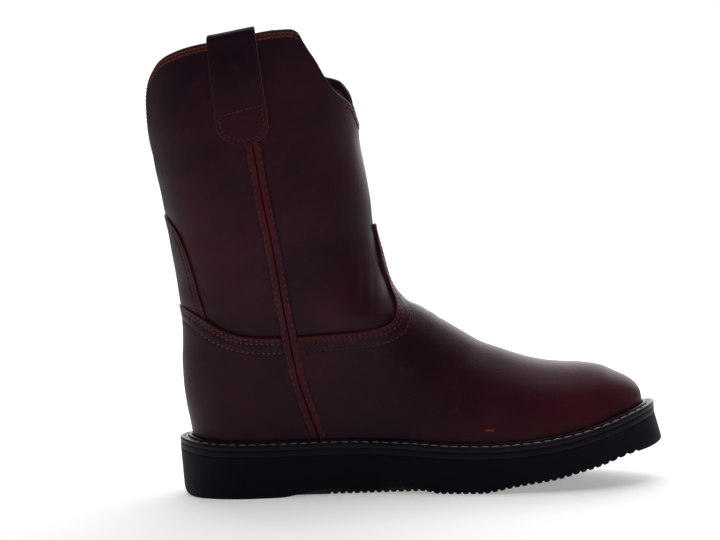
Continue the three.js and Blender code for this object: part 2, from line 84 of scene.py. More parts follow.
# Ground side of the outsole. Same columns
GROUND_ROWS = [
    (-0.5, 0.26), (-0.495, 0.14), (-0.487, 0.055), (-0.471, 0.012), (-0.452, 0), (-0.285, 0),
    (-0.24, 0.05), (-0.2, 0.095), (-0.15, 0.13), (-0.09, 0.13), (-0.045, 0.105), (-0.01, 0.075),
    (0.025, 0.03), (0.048, 0), (0.135, 0), (0.16, 0.03), (0.192, 0.085), (0.224, 0.13), (0.279, 0.2),
    (0.333, 0.315), (0.381, 0.42), (0.426, 0.57), (0.465, 0.66), (0.484, 0.73), (0.5, 0.86),
]
# Footprint before its ends are rounded. Columns: length share, inner and outer share of ball width
FOOT_ROWS = [
    (-0.468, 0.283, 0.283), (-0.353, 0.288, 0.292), (-0.24, 0.264, 0.297), (-0.112, 0.217, 0.311),
    (0, 0.274, 0.4), (0.08, 0.335, 0.452), (0.16, 0.366, 0.46), (0.256, 0.364, 0.43),
    (0.353, 0.34, 0.37), (0.458, 0.3, 0.3),
]
# Back line. Columns: share of the upper's height, length share
BACK_ROWS = [
    (-0.019, -0.468), (0.015, -0.468), (0.046, -0.471), (0.094, -0.4775), (0.148, -0.4815),
    (0.196, -0.482), (0.245, -0.479), (0.295, -0.478), (0.343, -0.4835), (0.419, -0.4905),
    (0.47, -0.4965), (0.52, -0.502), (0.57, -0.5105), (0.62, -0.517), (0.668, -0.5245), (0.718, -0.53),
    (0.768, -0.5355), (0.853, -0.539), (1.023, -0.54),
]
# Front line from the toe to the collar. Columns: length share, rise above the welt as a share of the height
FRONT_ROWS = [
    (0.4577, -0.012), (0.4577, 0.017), (0.455, 0.035), (0.4495, 0.05), (0.4385, 0.067), (0.42, 0.087),
    (0.4, 0.106), (0.381, 0.123), (0.341, 0.144), (0.3, 0.157), (0.258, 0.171), (0.2165, 0.188),
    (0.1755, 0.209), (0.134, 0.228), (0.093, 0.257), (0.051, 0.287), (0.0115, 0.314), (-0.0175, 0.329),
    (-0.0405, 0.36), (-0.0515, 0.385), (-0.057, 0.409), (-0.066, 0.458), (-0.0753, 0.507),
    (-0.0775, 0.533), (-0.08, 0.582), (-0.0853, 0.63), (-0.0913, 0.68), (-0.097, 0.728),
    (-0.0975, 0.778), (-0.0985, 0.86), (-0.099, 1.03),
]
# Half width of the shaft. Columns: share of the upper's height, share of shaft width
SHAFT_ROWS = [
    (-0.019, 0.33), (0.208, 0.37), (0.283, 0.39), (0.358, 0.41), (0.434, 0.433), (0.51, 0.457),
    (0.623, 0.481), (0.717, 0.495), (0.853, 0.505), (1.023, 0.51),
]
# Height of the collar round half its edge. Columns: share of the way from back to front, share of the height.
# Both sides rise alike from the back, then the inner side keeps its height a little further to the front
COLLAR_BACK = [
    (0, 0.717), (0.03, 0.737), (0.06, 0.796), (0.09, 0.851), (0.125, 0.887), (0.17, 0.912),
    (0.21, 0.932), (0.26, 0.947), (0.35, 0.964), (0.46, 0.976),
]
COLLAR_INNER = [
    *COLLAR_BACK, (0.54, 0.986), (0.61, 0.993), (0.66, 0.994), (0.685, 0.986), (0.7, 0.966), (0.72, 0.942),
    (0.744, 0.917), (0.762, 0.895), (0.782, 0.873), (0.806, 0.853), (0.834, 0.837), (0.866, 0.826),
    (0.906, 0.814), (0.938, 0.796), (0.97, 0.773), (1, 0.764),
]
COLLAR_OUTER = [
    *COLLAR_BACK, (0.54, 0.984), (0.59, 0.982), (0.63, 0.972), (0.65, 0.958), (0.67, 0.938), (0.69, 0.916),
    (0.71, 0.894), (0.73, 0.88), (0.764, 0.875), (0.802, 0.868), (0.844, 0.849), (0.872, 0.832),
    (0.89, 0.808), (0.918, 0.784), (0.96, 0.768), (1, 0.764),
]
# Rings of the foot. Columns: height share at the back, share of the front line, share of the sole's curve
RING_ROWS = [
    (-0.013, 0, 1), (0.013, 0.03, 1), (0.038, 0.06, 0.95), (0.06, 0.1, 0.85), (0.083, 0.145, 0.7),
    (0.105, 0.2, 0.55), (0.128, 0.265, 0.4), (0.152, 0.33, 0.3), (0.178, 0.405, 0.2),
    (0.204, 0.48, 0.12), (0.23, 0.555, 0.06), (0.256, 0.63, 0), (0.283, 0.705, 0), (0.309, 0.78, 0),
    (0.34, 0.85, 0), (0.374, 0.915, 0), (0.411, 1, 0),
]
# Side view lines of the overlays. Columns: length share, share of the upper's height
SEAM_ROWS = [
    (0.013, -0.203), (0.027, -0.2065), (0.091, -0.223), (0.176, -0.24), (0.274, -0.2505), (0.357, -0.259),
    (0.406, -0.2635), (0.495, -0.2725), (0.593, -0.285), (0.657, -0.292), (0.73, -0.299),
]
OVERLAY_TOP = [
    (-0.56, 0.344), (-0.4817, 0.338), (-0.4507, 0.3255), (-0.4242, 0.3075), (-0.3899, 0.2835),
    (-0.3483, 0.266), (-0.3027, 0.2595), (-0.2513, 0.2585), (-0.1845, 0.261), (-0.1168, 0.2645),
    (-0.0655, 0.269), (-0.05, 0.272),
]
# Edge of the tongue and of the back stay. Columns: share of the upper's height, length share
TONGUE_EDGE = [
    (0.27, -0.04), (0.284, -0.0375), (0.308, -0.0335), (0.324, -0.036), (0.3555, -0.047), (0.3815, -0.0545),
    (0.4075, -0.061), (0.4596, -0.0695), (0.5117, -0.0775), (0.53, -0.0805),
]
TONGUE_TOP = 0.515
LOW_ROW_TOP = 0.37
STAY_EDGE = [
    (0.25, -0.408), (0.323, -0.4235), (0.362, -0.4325), (0.411, -0.4415), (0.47, -0.4555), (0.505, -0.467),
    (0.524, -0.476), (0.542, -0.489), (0.5585, -0.504), (0.563, -0.515), (0.566, -0.56),
]
print("tables:", len(FRONT_ROWS), "rows on the front line,", len(COLLAR_INNER), "on the collar")


# %% [markdown]
# A table is read through a smooth line that never overshoots its rows, so a flat stretch of the sole stays flat.
# Round ends come from one formula, a superellipse, which is how a toe or a heel turns seen from above.

# %% Reading a table
def read_table(rows, at, column=1):
    """A smooth line through a table's rows, read at one or many places"""
    table = np.array(rows, float)
    places = table[:, 0]
    values = table[:, column]
    slopes = np.diff(values) / np.diff(places)
    product = slopes[:-1] * slopes[1:]
    total = np.where(product > 0, slopes[:-1] + slopes[1:], 1)
    inner = np.where(product > 0, 2 * product / total, 0)
    tangents = np.concatenate([slopes[:1], inner, slopes[-1:]])
    at = np.clip(at, places[0], places[-1])
    i = np.clip(np.searchsorted(places, at) - 1, 0, len(slopes) - 1)
    span = places[i + 1] - places[i]
    t = (at - places[i]) / span
    start = values[i] * (1 + 2 * t) * (1 - t) ** 2 + span * tangents[i] * t * (1 - t) ** 2
    end = values[i + 1] * t * t * (3 - 2 * t) - span * tangents[i + 1] * t * t * (1 - t)
    return start + end


def mix(a, b, t):
    return a + (b - a) * t


def ease(low, high, at):
    """0 below low, 1 above high, and soft between"""
    t = np.clip((at - low) / (high - low), 0, 1)
    return t * t * (3 - 2 * t)


def bump(at, width):
    """A soft hill of height 1 at 0"""
    return np.exp(-(at / width) ** 2)


def round_end(distance, radius, power):
    """1 inside, falling to 0 at the end like a superellipse"""
    return (1 - (1 - np.clip(distance / radius, 0, 1)) ** power) ** (1 / power)


def height_of(share):
    return HEEL_STACK + share * UPPER_HEIGHT


def share_of(z):
    return (z - HEEL_STACK) / UPPER_HEIGHT


def welt_top(x):
    return HEEL_STACK * read_table(WELT_ROWS, x / SOLE_LENGTH)


def ground_line(x):
    return HEEL_STACK * read_table(GROUND_ROWS, x / SOLE_LENGTH)


def back_x(z):
    return SOLE_LENGTH * read_table(BACK_ROWS, share_of(z))


def seam_x(z):
    return SOLE_LENGTH * read_table(SEAM_ROWS, share_of(z))


print("heel seat at", round(float(welt_top(-0.1)) / MM, 1), "mm")


# %% [markdown]
# The front line runs from the toe over the instep to the collar. It turns too far for a height table, so it is a
# smooth line through side view points, measured by how far one has walked along it.

# %% The front line
def smooth_line(points, steps):
    """A centripetal Catmull-Rom line, which passes each point without loops"""
    ends = [2 * points[0] - points[1], *points, 2 * points[-1] - points[-2]]
    line = []
    for p0, p1, p2, p3 in zip(ends, ends[1:], ends[2:], ends[3:]):
        d0 = np.linalg.norm(p1 - p0) ** 0.5
        d1 = np.linalg.norm(p2 - p1) ** 0.5
        d2 = np.linalg.norm(p3 - p2) ** 0.5
        leave = ((p1 - p0) / d0 - (p2 - p0) / (d0 + d1) + (p2 - p1) / d1) * d1
        arrive = ((p2 - p1) / d1 - (p3 - p1) / (d1 + d2) + (p3 - p2) / d2) * d1
        for t in np.arange(steps) / steps:
            square = 3 * (p2 - p1) - 2 * leave - arrive
            cube = 2 * (p1 - p2) + leave + arrive
            line.append(p1 + t * leave + t * t * square + t ** 3 * cube)
    return np.array([*line, points[-1]])


def way_along(points):
    """How far each point of a line is from its start"""
    steps = np.linalg.norm(np.diff(points, axis=0), axis=1)
    return np.concatenate([[0], np.cumsum(steps)])


def walk(points, way, at):
    """Places on a line of points, by how far along it they are"""
    return np.stack([np.interp(at, way, points[:, k]) for k in range(3)], -1)


front_places = []
for x_share, rise in FRONT_ROWS:
    place = x_share * SOLE_LENGTH
    front_places.append(np.array([place, float(welt_top(place)) + rise * UPPER_HEIGHT]))
FRONT = smooth_line(front_places, 24)
FRONT_WAY = way_along(FRONT)
ANKLE_WAY = np.interp(height_of(0.434), FRONT[:, 1], FRONT_WAY)


def front_x(z):
    return np.interp(z, FRONT[:, 1], FRONT[:, 0])


def ridge_z(x):
    return np.interp(-x, -FRONT[:, 0], FRONT[:, 1])


print("front line", round(FRONT_WAY[-1] / MM), "mm long")

# %% [markdown]
# The last itself: half the boot's width at a side view point. The foot's width comes from the footprint, the
# leg's from the shaft table, and both are closed at the back, at the toe, over the top of the foot and at the
# front of the leg. The creases that walking and drying leave in leather are laid in one by one, as soft troughs
# with a low ridge at each side, before anything is built on the surface.

# %% The last
HEEL_ROUND = 40 * MM
SHAFT_ROUND = 69 * MM
TOE_ROUND = 50 * MM
END_POWER = 2.1
TOE_POWER = 2.25
ARCH_POWER = 2.3


def half_width(x, z, side):
    """Half width at a side view point. Side is -1 for the inner half and 1 for the outer"""
    x, z, side = np.broadcast_arrays(np.asarray(x, float), np.asarray(z, float), np.asarray(side, float))
    along = x / SOLE_LENGTH
    foot = BALL_WIDTH * np.where(side < 0, read_table(FOOT_ROWS, along, 1), read_table(FOOT_ROWS, along, 2))
    rise = z - welt_top(x)
    shaft = SHAFT_WIDTH * read_table(SHAFT_ROWS, share_of(z))
    body = mix(foot, shaft, ease(0, 0.4 * UPPER_HEIGHT, rise))
    back_radius = mix(HEEL_ROUND, SHAFT_ROUND, ease(height_of(0.02), height_of(0.6), z))
    back = round_end(x - back_x(z), back_radius, END_POWER)
    share = np.clip(rise / np.maximum(0.01 * MM, ridge_z(x) - welt_top(x)), 0, 1)
    toe = round_end(FRONT[0, 0] - x, TOE_ROUND, TOE_POWER)
    over_foot = toe * (1 - share ** ARCH_POWER) ** (1 / END_POWER)
    over_shaft = round_end(front_x(z) - x, SHAFT_ROUND, END_POWER)
    foot_share = 1 - ease(height_of(0.21), height_of(0.49), z)
    return body * back * over_foot ** foot_share * over_shaft ** (1 - foot_share)


# Creases. Columns: start and end as length share and height share, depth and width in millimetres
CREASES = [
    (0.02, 0.325, 0.0, 0.27, 0.16, 1.7), (0.034, 0.315, 0.012, 0.25, 0.2, 2.0),
    (0.052, 0.3, 0.03, 0.22, 0.16, 2.2), (0.12, 0.215, 0.07, 0.12, 0.18, 5.0),
    (0.19, 0.19, 0.15, 0.08, 0.14, 5.5), (-0.07, 0.392, -0.17, 0.352, 0.22, 5.0),
    (-0.08, 0.462, -0.2, 0.488, 0.18, 5.5), (-0.485, 0.398, -0.372, 0.364, 0.26, 5.0),
    (-0.49, 0.49, -0.395, 0.52, 0.2, 5.5), (-0.35, 0.6, -0.22, 0.66, 0.35, 10.0),
    (-0.17, 0.6, -0.12, 0.72, 0.4, 10.0), (-0.46, 0.62, -0.42, 0.76, 0.35, 9.0),
]


def crease(x, z):
    """How far the leather is pushed out, below zero in a trough"""
    height = np.zeros(np.broadcast(x, z).shape)
    for x0, z0, x1, z1, depth, width in CREASES:
        start = np.array([x0 * SOLE_LENGTH, height_of(z0)])
        line = np.array([x1 * SOLE_LENGTH, height_of(z1)]) - start
        length = np.linalg.norm(line)
        along = ((x - start[0]) * line[0] + (z - start[1]) * line[1]) / length
        aside = ((z - start[1]) * line[0] - (x - start[0]) * line[1]) / length
        taper = ease(-0.15 * length, 0.35 * length, along) * (1 - ease(0.6 * length, 1.1 * length, along))
        near = aside / (width * MM)
        profile = 0.4 * bump(np.abs(near) - 2, 0.9) - bump(near, 1)
        height += depth * MM * taper * profile
    return height


print("widest at the ball:", round(float(half_width(0.05, 0.04, -1) + half_width(0.05, 0.04, 1)) / MM, 1), "mm")

# %% [markdown]
# The last is read ring by ring, from the edge of the sole up over the foot and up the leg. The rings follow the
# sole's curve at the bottom and are level at the ankle, as the lines of a boot are. One fine grid of rings and
# columns is kept, and every layer of leather is laid on it at its own height. A part row or column is read
# smoothly, so a piece may be cut anywhere.

# %% Rings of the last
FOOT_RINGS = len(RING_ROWS) - 1
SHAFT_RINGS = 9
LAST_RING = FOOT_RINGS + SHAFT_RINGS
RING_TABLE = [(i, *row) for i, row in enumerate(RING_ROWS)]
FINE = 8
ROWS = LAST_RING * FINE + 1
COLUMNS = 240


def ring_path(ring, t, side):
    """Side view path of one side of a ring, t from 0 at the back to 1 at the front"""
    row = min(ring, FOOT_RINGS)
    back_height = float(height_of(read_table(RING_TABLE, row, 1)))
    way = ANKLE_WAY * float(read_table(RING_TABLE, row, 2))
    follow = float(read_table(RING_TABLE, row, 3))
    start = float(back_x(back_height))
    end = np.interp(way, FRONT_WAY, FRONT[:, 0])
    x = mix(start, end, t)
    sole = welt_top(x) - mix(float(welt_top(start)), float(welt_top(end)), t)
    z = mix(back_height, np.interp(way, FRONT_WAY, FRONT[:, 1]), t) + follow * sole
    if ring <= FOOT_RINGS:
        return x, z
    around = np.arccos(1 - 2 * t) / np.pi
    collar = COLLAR_INNER if side < 0 else COLLAR_OUTER
    z = mix(z, height_of(read_table(collar, around)), (ring - FOOT_RINGS) / SHAFT_RINGS)
    return mix(back_x(z), front_x(z), t), z


def ring_points(ring, columns):
    """One ring, evenly spaced: inner side from back to front, then the outer side back again"""
    t = (1 - np.cos(np.linspace(0, np.pi, 241))) / 2
    halves = []
    for side in (-1, 1):
        x, z = ring_path(ring, t, side)
        y = side * half_width(x, z, side)
        y[[0, -1]] = 0
        points = np.stack([x, y, z], 1)
        way = way_along(points)
        halves.append(walk(points, way, np.linspace(0, way[-1], columns // 2 + 1)))
    return np.concatenate([halves[0][:-1], halves[1][:0:-1]])


def unit(vectors):
    return vectors / np.linalg.norm(vectors, axis=-1, keepdims=True)


last = np.array([ring_points(ring / FINE, COLUMNS) for ring in range(ROWS)])
around = np.roll(last, -1, axis=1) - np.roll(last, 1, axis=1)
upwards = np.gradient(last, axis=0)
last_normal = unit(np.cross(around, upwards))
last_normal[:, :, 2] *= np.clip(np.arange(ROWS) / FINE - 1, 0, 1)[:, None]
last_normal = unit(last_normal)
last = last + last_normal * crease(last[:, :, 0], last[:, :, 2])[:, :, None]
print("last:", last.shape[0], "rings of", last.shape[1], "points")


# %% Reading the last between its rings
def cubic_weights(t):
    return (
        (-t ** 3 + 2 * t ** 2 - t) / 2,
        (3 * t ** 3 - 5 * t ** 2 + 2) / 2,
        (-3 * t ** 3 + 4 * t ** 2 + t) / 2,
        (t ** 3 - t ** 2) / 2,
    )


def sample(grid, rows, columns):
    """A grid read smoothly at part rows and columns. Columns go round and round"""
    rows = np.asarray(rows, float)
    columns = np.asarray(columns, float)
    row = np.floor(rows).astype(int)
    column = np.floor(columns).astype(int)
    down = cubic_weights(rows - row)
    across = cubic_weights(columns - column)
    total = 0
    for i in range(4):
        r = np.clip(row + i - 1, 0, grid.shape[0] - 1)
        for j in range(4):
            weight = down[i] * across[j]
            if grid.ndim == 3:
                weight = weight[..., None]
            total = total + weight * grid[r, (column + j - 1) % grid.shape[1]]
    return total


def on_last(rows, columns, distance):
    """Points at a distance outside the last"""
    out = unit(sample(last_normal, rows, columns))
    return sample(last, rows, columns) + out * np.asarray(distance)[..., None]


def side_point(x, z, side, distance):
    """A point over the side of the last, found from its side view, and the direction out of it"""
    step = 1 * MM
    slope_x = (half_width(x + step, z, side) - half_width(x - step, z, side)) / (2 * step)
    slope_z = (half_width(x, z + step, side) - half_width(x, z - step, side)) / (2 * step)
    out = unit(np.stack([-slope_x, np.broadcast_to(float(side), slope_x.shape), -slope_z], -1))
    middle = np.stack(np.broadcast_arrays(x, side * half_width(x, z, side), z), -1)
    return middle + out * (distance + crease(x, z))[..., None], out


# %% [markdown]
# The frame's origin is under the middle of the whole boot, and the last's is at the middle of its sole. The
# difference is found from the frame, by setting the outline of the sole against the outsole's box.

# %% Outline of the sole
PLAN = 288
TOE_DRAW = 3.1 * MM
foot_loop = ring_points(0, PLAN)


def sole_reach(x, draw=TOE_DRAW):
    """How far the sole stands out past the upper: less at the waist, most at the toe"""
    waist = bump(x + 0.12 * SOLE_LENGTH, 0.13 * SOLE_LENGTH)
    toe = ease(0.25 * SOLE_LENGTH, 0.45 * SOLE_LENGTH, x)
    return mix(mix(WELT_REACH, WAIST_REACH, waist), SOLE_LENGTH / 2 - FRONT[0, 0] - draw, toe)


def offset_loop(loop, reach):
    """The loop moved outwards in plan"""
    along = np.roll(loop, -1, axis=0) - np.roll(loop, 1, axis=0)
    out = unit(np.stack([along[:, 1], -along[:, 0], np.zeros(len(loop))], 1))
    return loop + out * np.broadcast_to(reach, len(loop))[:, None]


sole_loop = offset_loop(foot_loop, sole_reach(foot_loop[:, 0]))
full_loop = offset_loop(foot_loop, sole_reach(foot_loop[:, 0], 0))
outsole_low, outsole_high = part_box("outsole")
SHIFT = np.array([
    outsole_high[0] - full_loop[:, 0].max(),
    (outsole_low[1] + outsole_high[1] - full_loop[:, 1].min() - full_loop[:, 1].max()) / 2,
    0,
])
print("frame is shifted by", np.round(SHIFT / MM, 2), "mm")


# %% [markdown]
# Leather comes as flat sheet, and so do the faces here. A grid from bmesh is laid through rows of points, and
# welded where its edges meet, which makes a tube, a ring or a wall. Pushing vertices one by one into lists
# would do the same, but the operator keeps the order and the weld closes every seam.

# %% Helpers for pieces
WELD = 0.002 * MM


def folded_sheet(points, zones=None, marks=None):
    """A grid of faces laid through rows of points and welded where its edges meet"""
    rows, columns = points.shape[:2]
    bm = bmesh.new()
    bmesh.ops.create_grid(bm, x_segments=columns - 1, y_segments=rows - 1, size=1)
    if zones is not None:
        for face in bm.faces:
            centre = face.calc_center_median()
            column = int((centre.x + 1) / 2 * (columns - 1))
            face.material_index = int(zones[int((centre.y + 1) / 2 * (rows - 1)), column])
    marks = marks or {}
    layers = {name: bm.verts.layers.float.new(name) for name in marks}
    for vertex in bm.verts:
        column = round((vertex.co.x + 1) / 2 * (columns - 1))
        row = round((vertex.co.y + 1) / 2 * (rows - 1))
        for name, layer in layers.items():
            vertex[layer] = marks[name][row, column]
        vertex.co = points[row, column]
    bmesh.ops.remove_doubles(bm, verts=bm.verts[:], dist=WELD)
    return bm


def close_ends(bm):
    """Open ends are filled, so that the piece is a closed body"""
    edges = [edge for edge in bm.edges if edge.is_boundary]
    bmesh.ops.holes_fill(bm, edges=edges, sides=0)


def place_object(name, data):
    """A new object of the scene, for a mesh, a light or a camera"""
    thing = bpy.data.objects.new(name, data)
    bpy.context.scene.collection.objects.link(thing)
    return thing


def finish_piece(name, bm, materials, nodes=(), sharp=None):
    """The bmesh becomes an object in the frame, riding on the boot and standing for its nodes"""
    bmesh.ops.translate(bm, vec=Vector(SHIFT), verts=bm.verts[:])
    if bm.calc_volume(signed=True) < 0:
        bmesh.ops.reverse_faces(bm, faces=bm.faces[:])
    mesh = bpy.data.meshes.new(name)
    bm.to_mesh(mesh)
    bm.free()
    mesh.shade_smooth()
    if sharp:
        mesh.set_sharp_from_angle(angle=math.radians(sharp))
    for material in materials:
        mesh.materials.append(material)
    piece = place_object(name, mesh)
    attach(piece, "root")
    if nodes:
        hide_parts(*nodes)
    print(name, len(mesh.polygons), "faces")


# %% [markdown]
# Oiled leather is a deep colour with slow clouds in it, redder where it is rubbed and greyer where wax lies on
# it. Its grain is small pebbles with fine wrinkles between. Each of these effects is a node group with its own
# inputs, so that every leather on the boot shares them with its own values. Painted images could do it too, but
# a pattern made from the object's own coordinates has no seams and runs on from piece to piece.

# %% Node helpers
def linear(red, green, blue):
    """A colour of the screen, 0 to 255, as the shader wants it"""
    return (*[((c / 255 + 0.055) / 1.055) ** 2.4 if c > 10 else c / 255 / 12.92 for c in (red, green, blue)], 1)


def feed(tree, socket, value):
    """An input takes another node's output or a constant"""
    if isinstance(value, bpy.types.NodeSocket):
        tree.links.new(value, socket)
    else:
        socket.default_value = value


def add_node(tree, kind, **values):
    """A node with its settings, and with its inputs by name"""
    node = tree.nodes.new("ShaderNode" + kind)
    for name, value in values.items():
        if hasattr(node, name):
            setattr(node, name, value)
        else:
            feed(tree, node.inputs[name.replace("_", " ")], value)
    return node


def noise(tree, place, scale, detail, **more):
    """A noise texture's value"""
    return add_node(tree, "TexNoise", Vector=place, Scale=scale, Detail=detail, **more).outputs[0]


def math_node(tree, operation, *values):
    """A Math node's result"""
    node = tree.nodes.new("ShaderNodeMath")
    node.operation = operation
    for socket, value in zip(node.inputs, values):
        feed(tree, socket, value)
    return node.outputs[0]


def times(tree, first, second):
    return math_node(tree, "MULTIPLY", first, second)


def mix_colour(tree, share, first, second):
    """A colour between two, by a share"""
    node = tree.nodes.new("ShaderNodeMix")
    node.data_type = "RGBA"
    for index, value in ((0, share), (6, first), (7, second)):
        feed(tree, node.inputs[index], value)
    return node.outputs[2]


def soft_step(tree, value, low, high):
    """0 to 1 as value goes from low to high, which may run backwards"""
    node = tree.nodes.new("ShaderNodeMapRange")
    node.interpolation_type = "SMOOTHSTEP"
    for socket, setting in zip(node.inputs, (value, low, high)):
        feed(tree, socket, setting)
    return node.outputs[0]


def new_group(name, inputs, outputs):
    """An empty node group with its sockets"""
    tree = bpy.data.node_groups.new(name, "ShaderNodeTree")
    for title, kind, value in inputs:
        socket = tree.interface.new_socket(title, in_out="INPUT", socket_type="NodeSocket" + kind)
        if value is not None:
            socket.default_value = value
    for title, kind in outputs:
        tree.interface.new_socket(title, in_out="OUTPUT", socket_type="NodeSocket" + kind)
    return tree, tree.nodes.new("NodeGroupInput").outputs, tree.nodes.new("NodeGroupOutput").inputs


def use_group(tree, group, **values):
    """A group placed in a material"""
    node = tree.nodes.new("ShaderNodeGroup")
    node.node_tree = group
    for name, value in values.items():
        feed(tree, node.inputs[name.replace("_", " ")], value)
    return node.outputs


# %% Shared effects
def make_mottle():
    """Slow clouds between three colours"""
    tree, given, out = new_group("leather_mottle", [
        ("Vector", "Vector", None), ("Base", "Color", None), ("Deep", "Color", None), ("Lift", "Color", None),
        ("Cloud Scale", "Float", 16.0), ("Strength", "Float", 1.0)], [("Color", "Color")])
    slow = noise(tree, given["Vector"], given["Cloud Scale"], 3.0)
    small = noise(tree, given["Vector"], times(tree, given["Cloud Scale"], 9.0), 4.0)
    dark = times(tree, soft_step(tree, slow, 0.56, 0.36), given["Strength"])
    light = times(tree, soft_step(tree, slow, 0.5, 0.72), given["Strength"])
    flecks = times(tree, soft_step(tree, small, 0.5, 0.8), given["Strength"])
    colour = mix_colour(tree, dark, given["Base"], given["Deep"])
    colour = mix_colour(tree, light, colour, given["Lift"])
    colour = mix_colour(tree, times(tree, flecks, 0.4), colour, given["Lift"])
    tree.links.new(colour, out["Color"])
    return tree


def make_grain():
    """Pebbles, fine wrinkles and pores, as a height from 0 to 1"""
    tree, given, out = new_group("leather_grain", [
        ("Vector", "Vector", None), ("Pebble Scale", "Float", 700.0), ("Wrinkle", "Float", 0.5)],
        [("Height", "Float")])
    pebble = add_node(tree, "TexVoronoi", Vector=given["Vector"], Scale=given["Pebble Scale"], Randomness=1.0)
    slow = noise(tree, given["Vector"], times(tree, given["Pebble Scale"], 0.22), 5.0, Distortion=0.6)
    fine = noise(tree, given["Vector"], times(tree, given["Pebble Scale"], 2.6), 3.0)
    pebbles = times(tree, math_node(tree, "SUBTRACT", 1.0, pebble.outputs["Distance"]), 0.45)
    height = math_node(tree, "ADD", pebbles, times(tree, slow, given["Wrinkle"]))
    height = math_node(tree, "ADD", height, times(tree, fine, 0.2))
    tree.links.new(height, out["Height"])
    return tree


def make_rub():
    """A mask that is strong at an edge and breaks up as it fades, from a distance in metres"""
    tree, given, out = new_group("edge_rub", [
        ("Vector", "Vector", None), ("Distance", "Float", 0.0), ("Width", "Float", 0.004)], [("Mask", "Float")])
    cloud = noise(tree, given["Vector"], 260.0, 4.0)
    sway = times(tree, math_node(tree, "SUBTRACT", cloud, 0.5), given["Width"])
    away = math_node(tree, "ADD", given["Distance"], times(tree, sway, 1.6))
    tree.links.new(soft_step(tree, away, given["Width"], 0.0), out["Mask"])
    return tree


def make_row():
    """A narrow mask along a row of stitches, from a distance in metres"""
    tree, given, out = new_group("stitch_row", [
        ("Distance", "Float", 0.0), ("Row", "Float", 0.002), ("Width", "Float", 0.0007)], [("Mask", "Float")])
    aside = math_node(tree, "ABSOLUTE", math_node(tree, "SUBTRACT", given["Distance"], given["Row"]))
    tree.links.new(soft_step(tree, aside, given["Width"], 0.0), out["Mask"])
    return tree


def make_dust():
    """A few pale specks and fine scratches, as a mask"""
    tree, given, out = new_group("dust", [
        ("Vector", "Vector", None), ("Speck Scale", "Float", 420.0), ("Amount", "Float", 0.1)],
        [("Mask", "Float")])
    specks = noise(tree, given["Vector"], given["Speck Scale"], 2.0)
    patches = noise(tree, given["Vector"], 22.0, 2.0)
    mask = times(tree, soft_step(tree, specks, 0.66, 0.78), soft_step(tree, patches, 0.45, 0.7))
    tree.links.new(times(tree, mask, given["Amount"]), out["Mask"])
    return tree


MOTTLE = make_mottle()
GRAIN = make_grain()
RUB = make_rub()
ROW = make_row()
DUST = make_dust()
print("node groups:", len(bpy.data.node_groups))


# %% [markdown]
# One function makes every leather, with its own colours and gloss. It reads the distance from the piece's edge,
# which the mesh carries as an attribute, to rub the edge red and to paint a shade along the needle line
# under the thread.

# %% Leathers
NEEDLE_GROOVE_SHADE = linear(20, 7, 9)
RUBBED = linear(80, 21, 26)
BRAID_BROWN = linear(86, 34, 20)
PALE_SPECK = linear(130, 90, 85)
NICK_ORANGE = linear(150, 66, 32)
NICK_SIZE = (3.7 * MM, 0.6 * MM)
EDGE_ROWS = (2.2 * MM, 4.5 * MM)
LOW_ROW = 10.4 * MM
STAY_ROWS = (1.8 * MM, 4.6 * MM)


def start_material(name, roughness):
    material = bpy.data.materials.new(name)
    material.use_nodes = True
    tree = material.node_tree
    tree.nodes.clear()
    shader = tree.nodes.new("ShaderNodeBsdfPrincipled")
    shader.inputs["Roughness"].default_value = roughness
    result = tree.nodes.new("ShaderNodeOutputMaterial")
    tree.links.new(shader.outputs[0], result.inputs[0])
    place = tree.nodes.new("ShaderNodeTexCoord").outputs["Object"]
    return material, tree, shader, place


def add_bump(tree, shader, height, distance, strength):
    node = add_node(tree, "Bump", Distance=distance, Strength=strength, Height=height)
    tree.links.new(node.outputs[0], shader.inputs["Normal"])


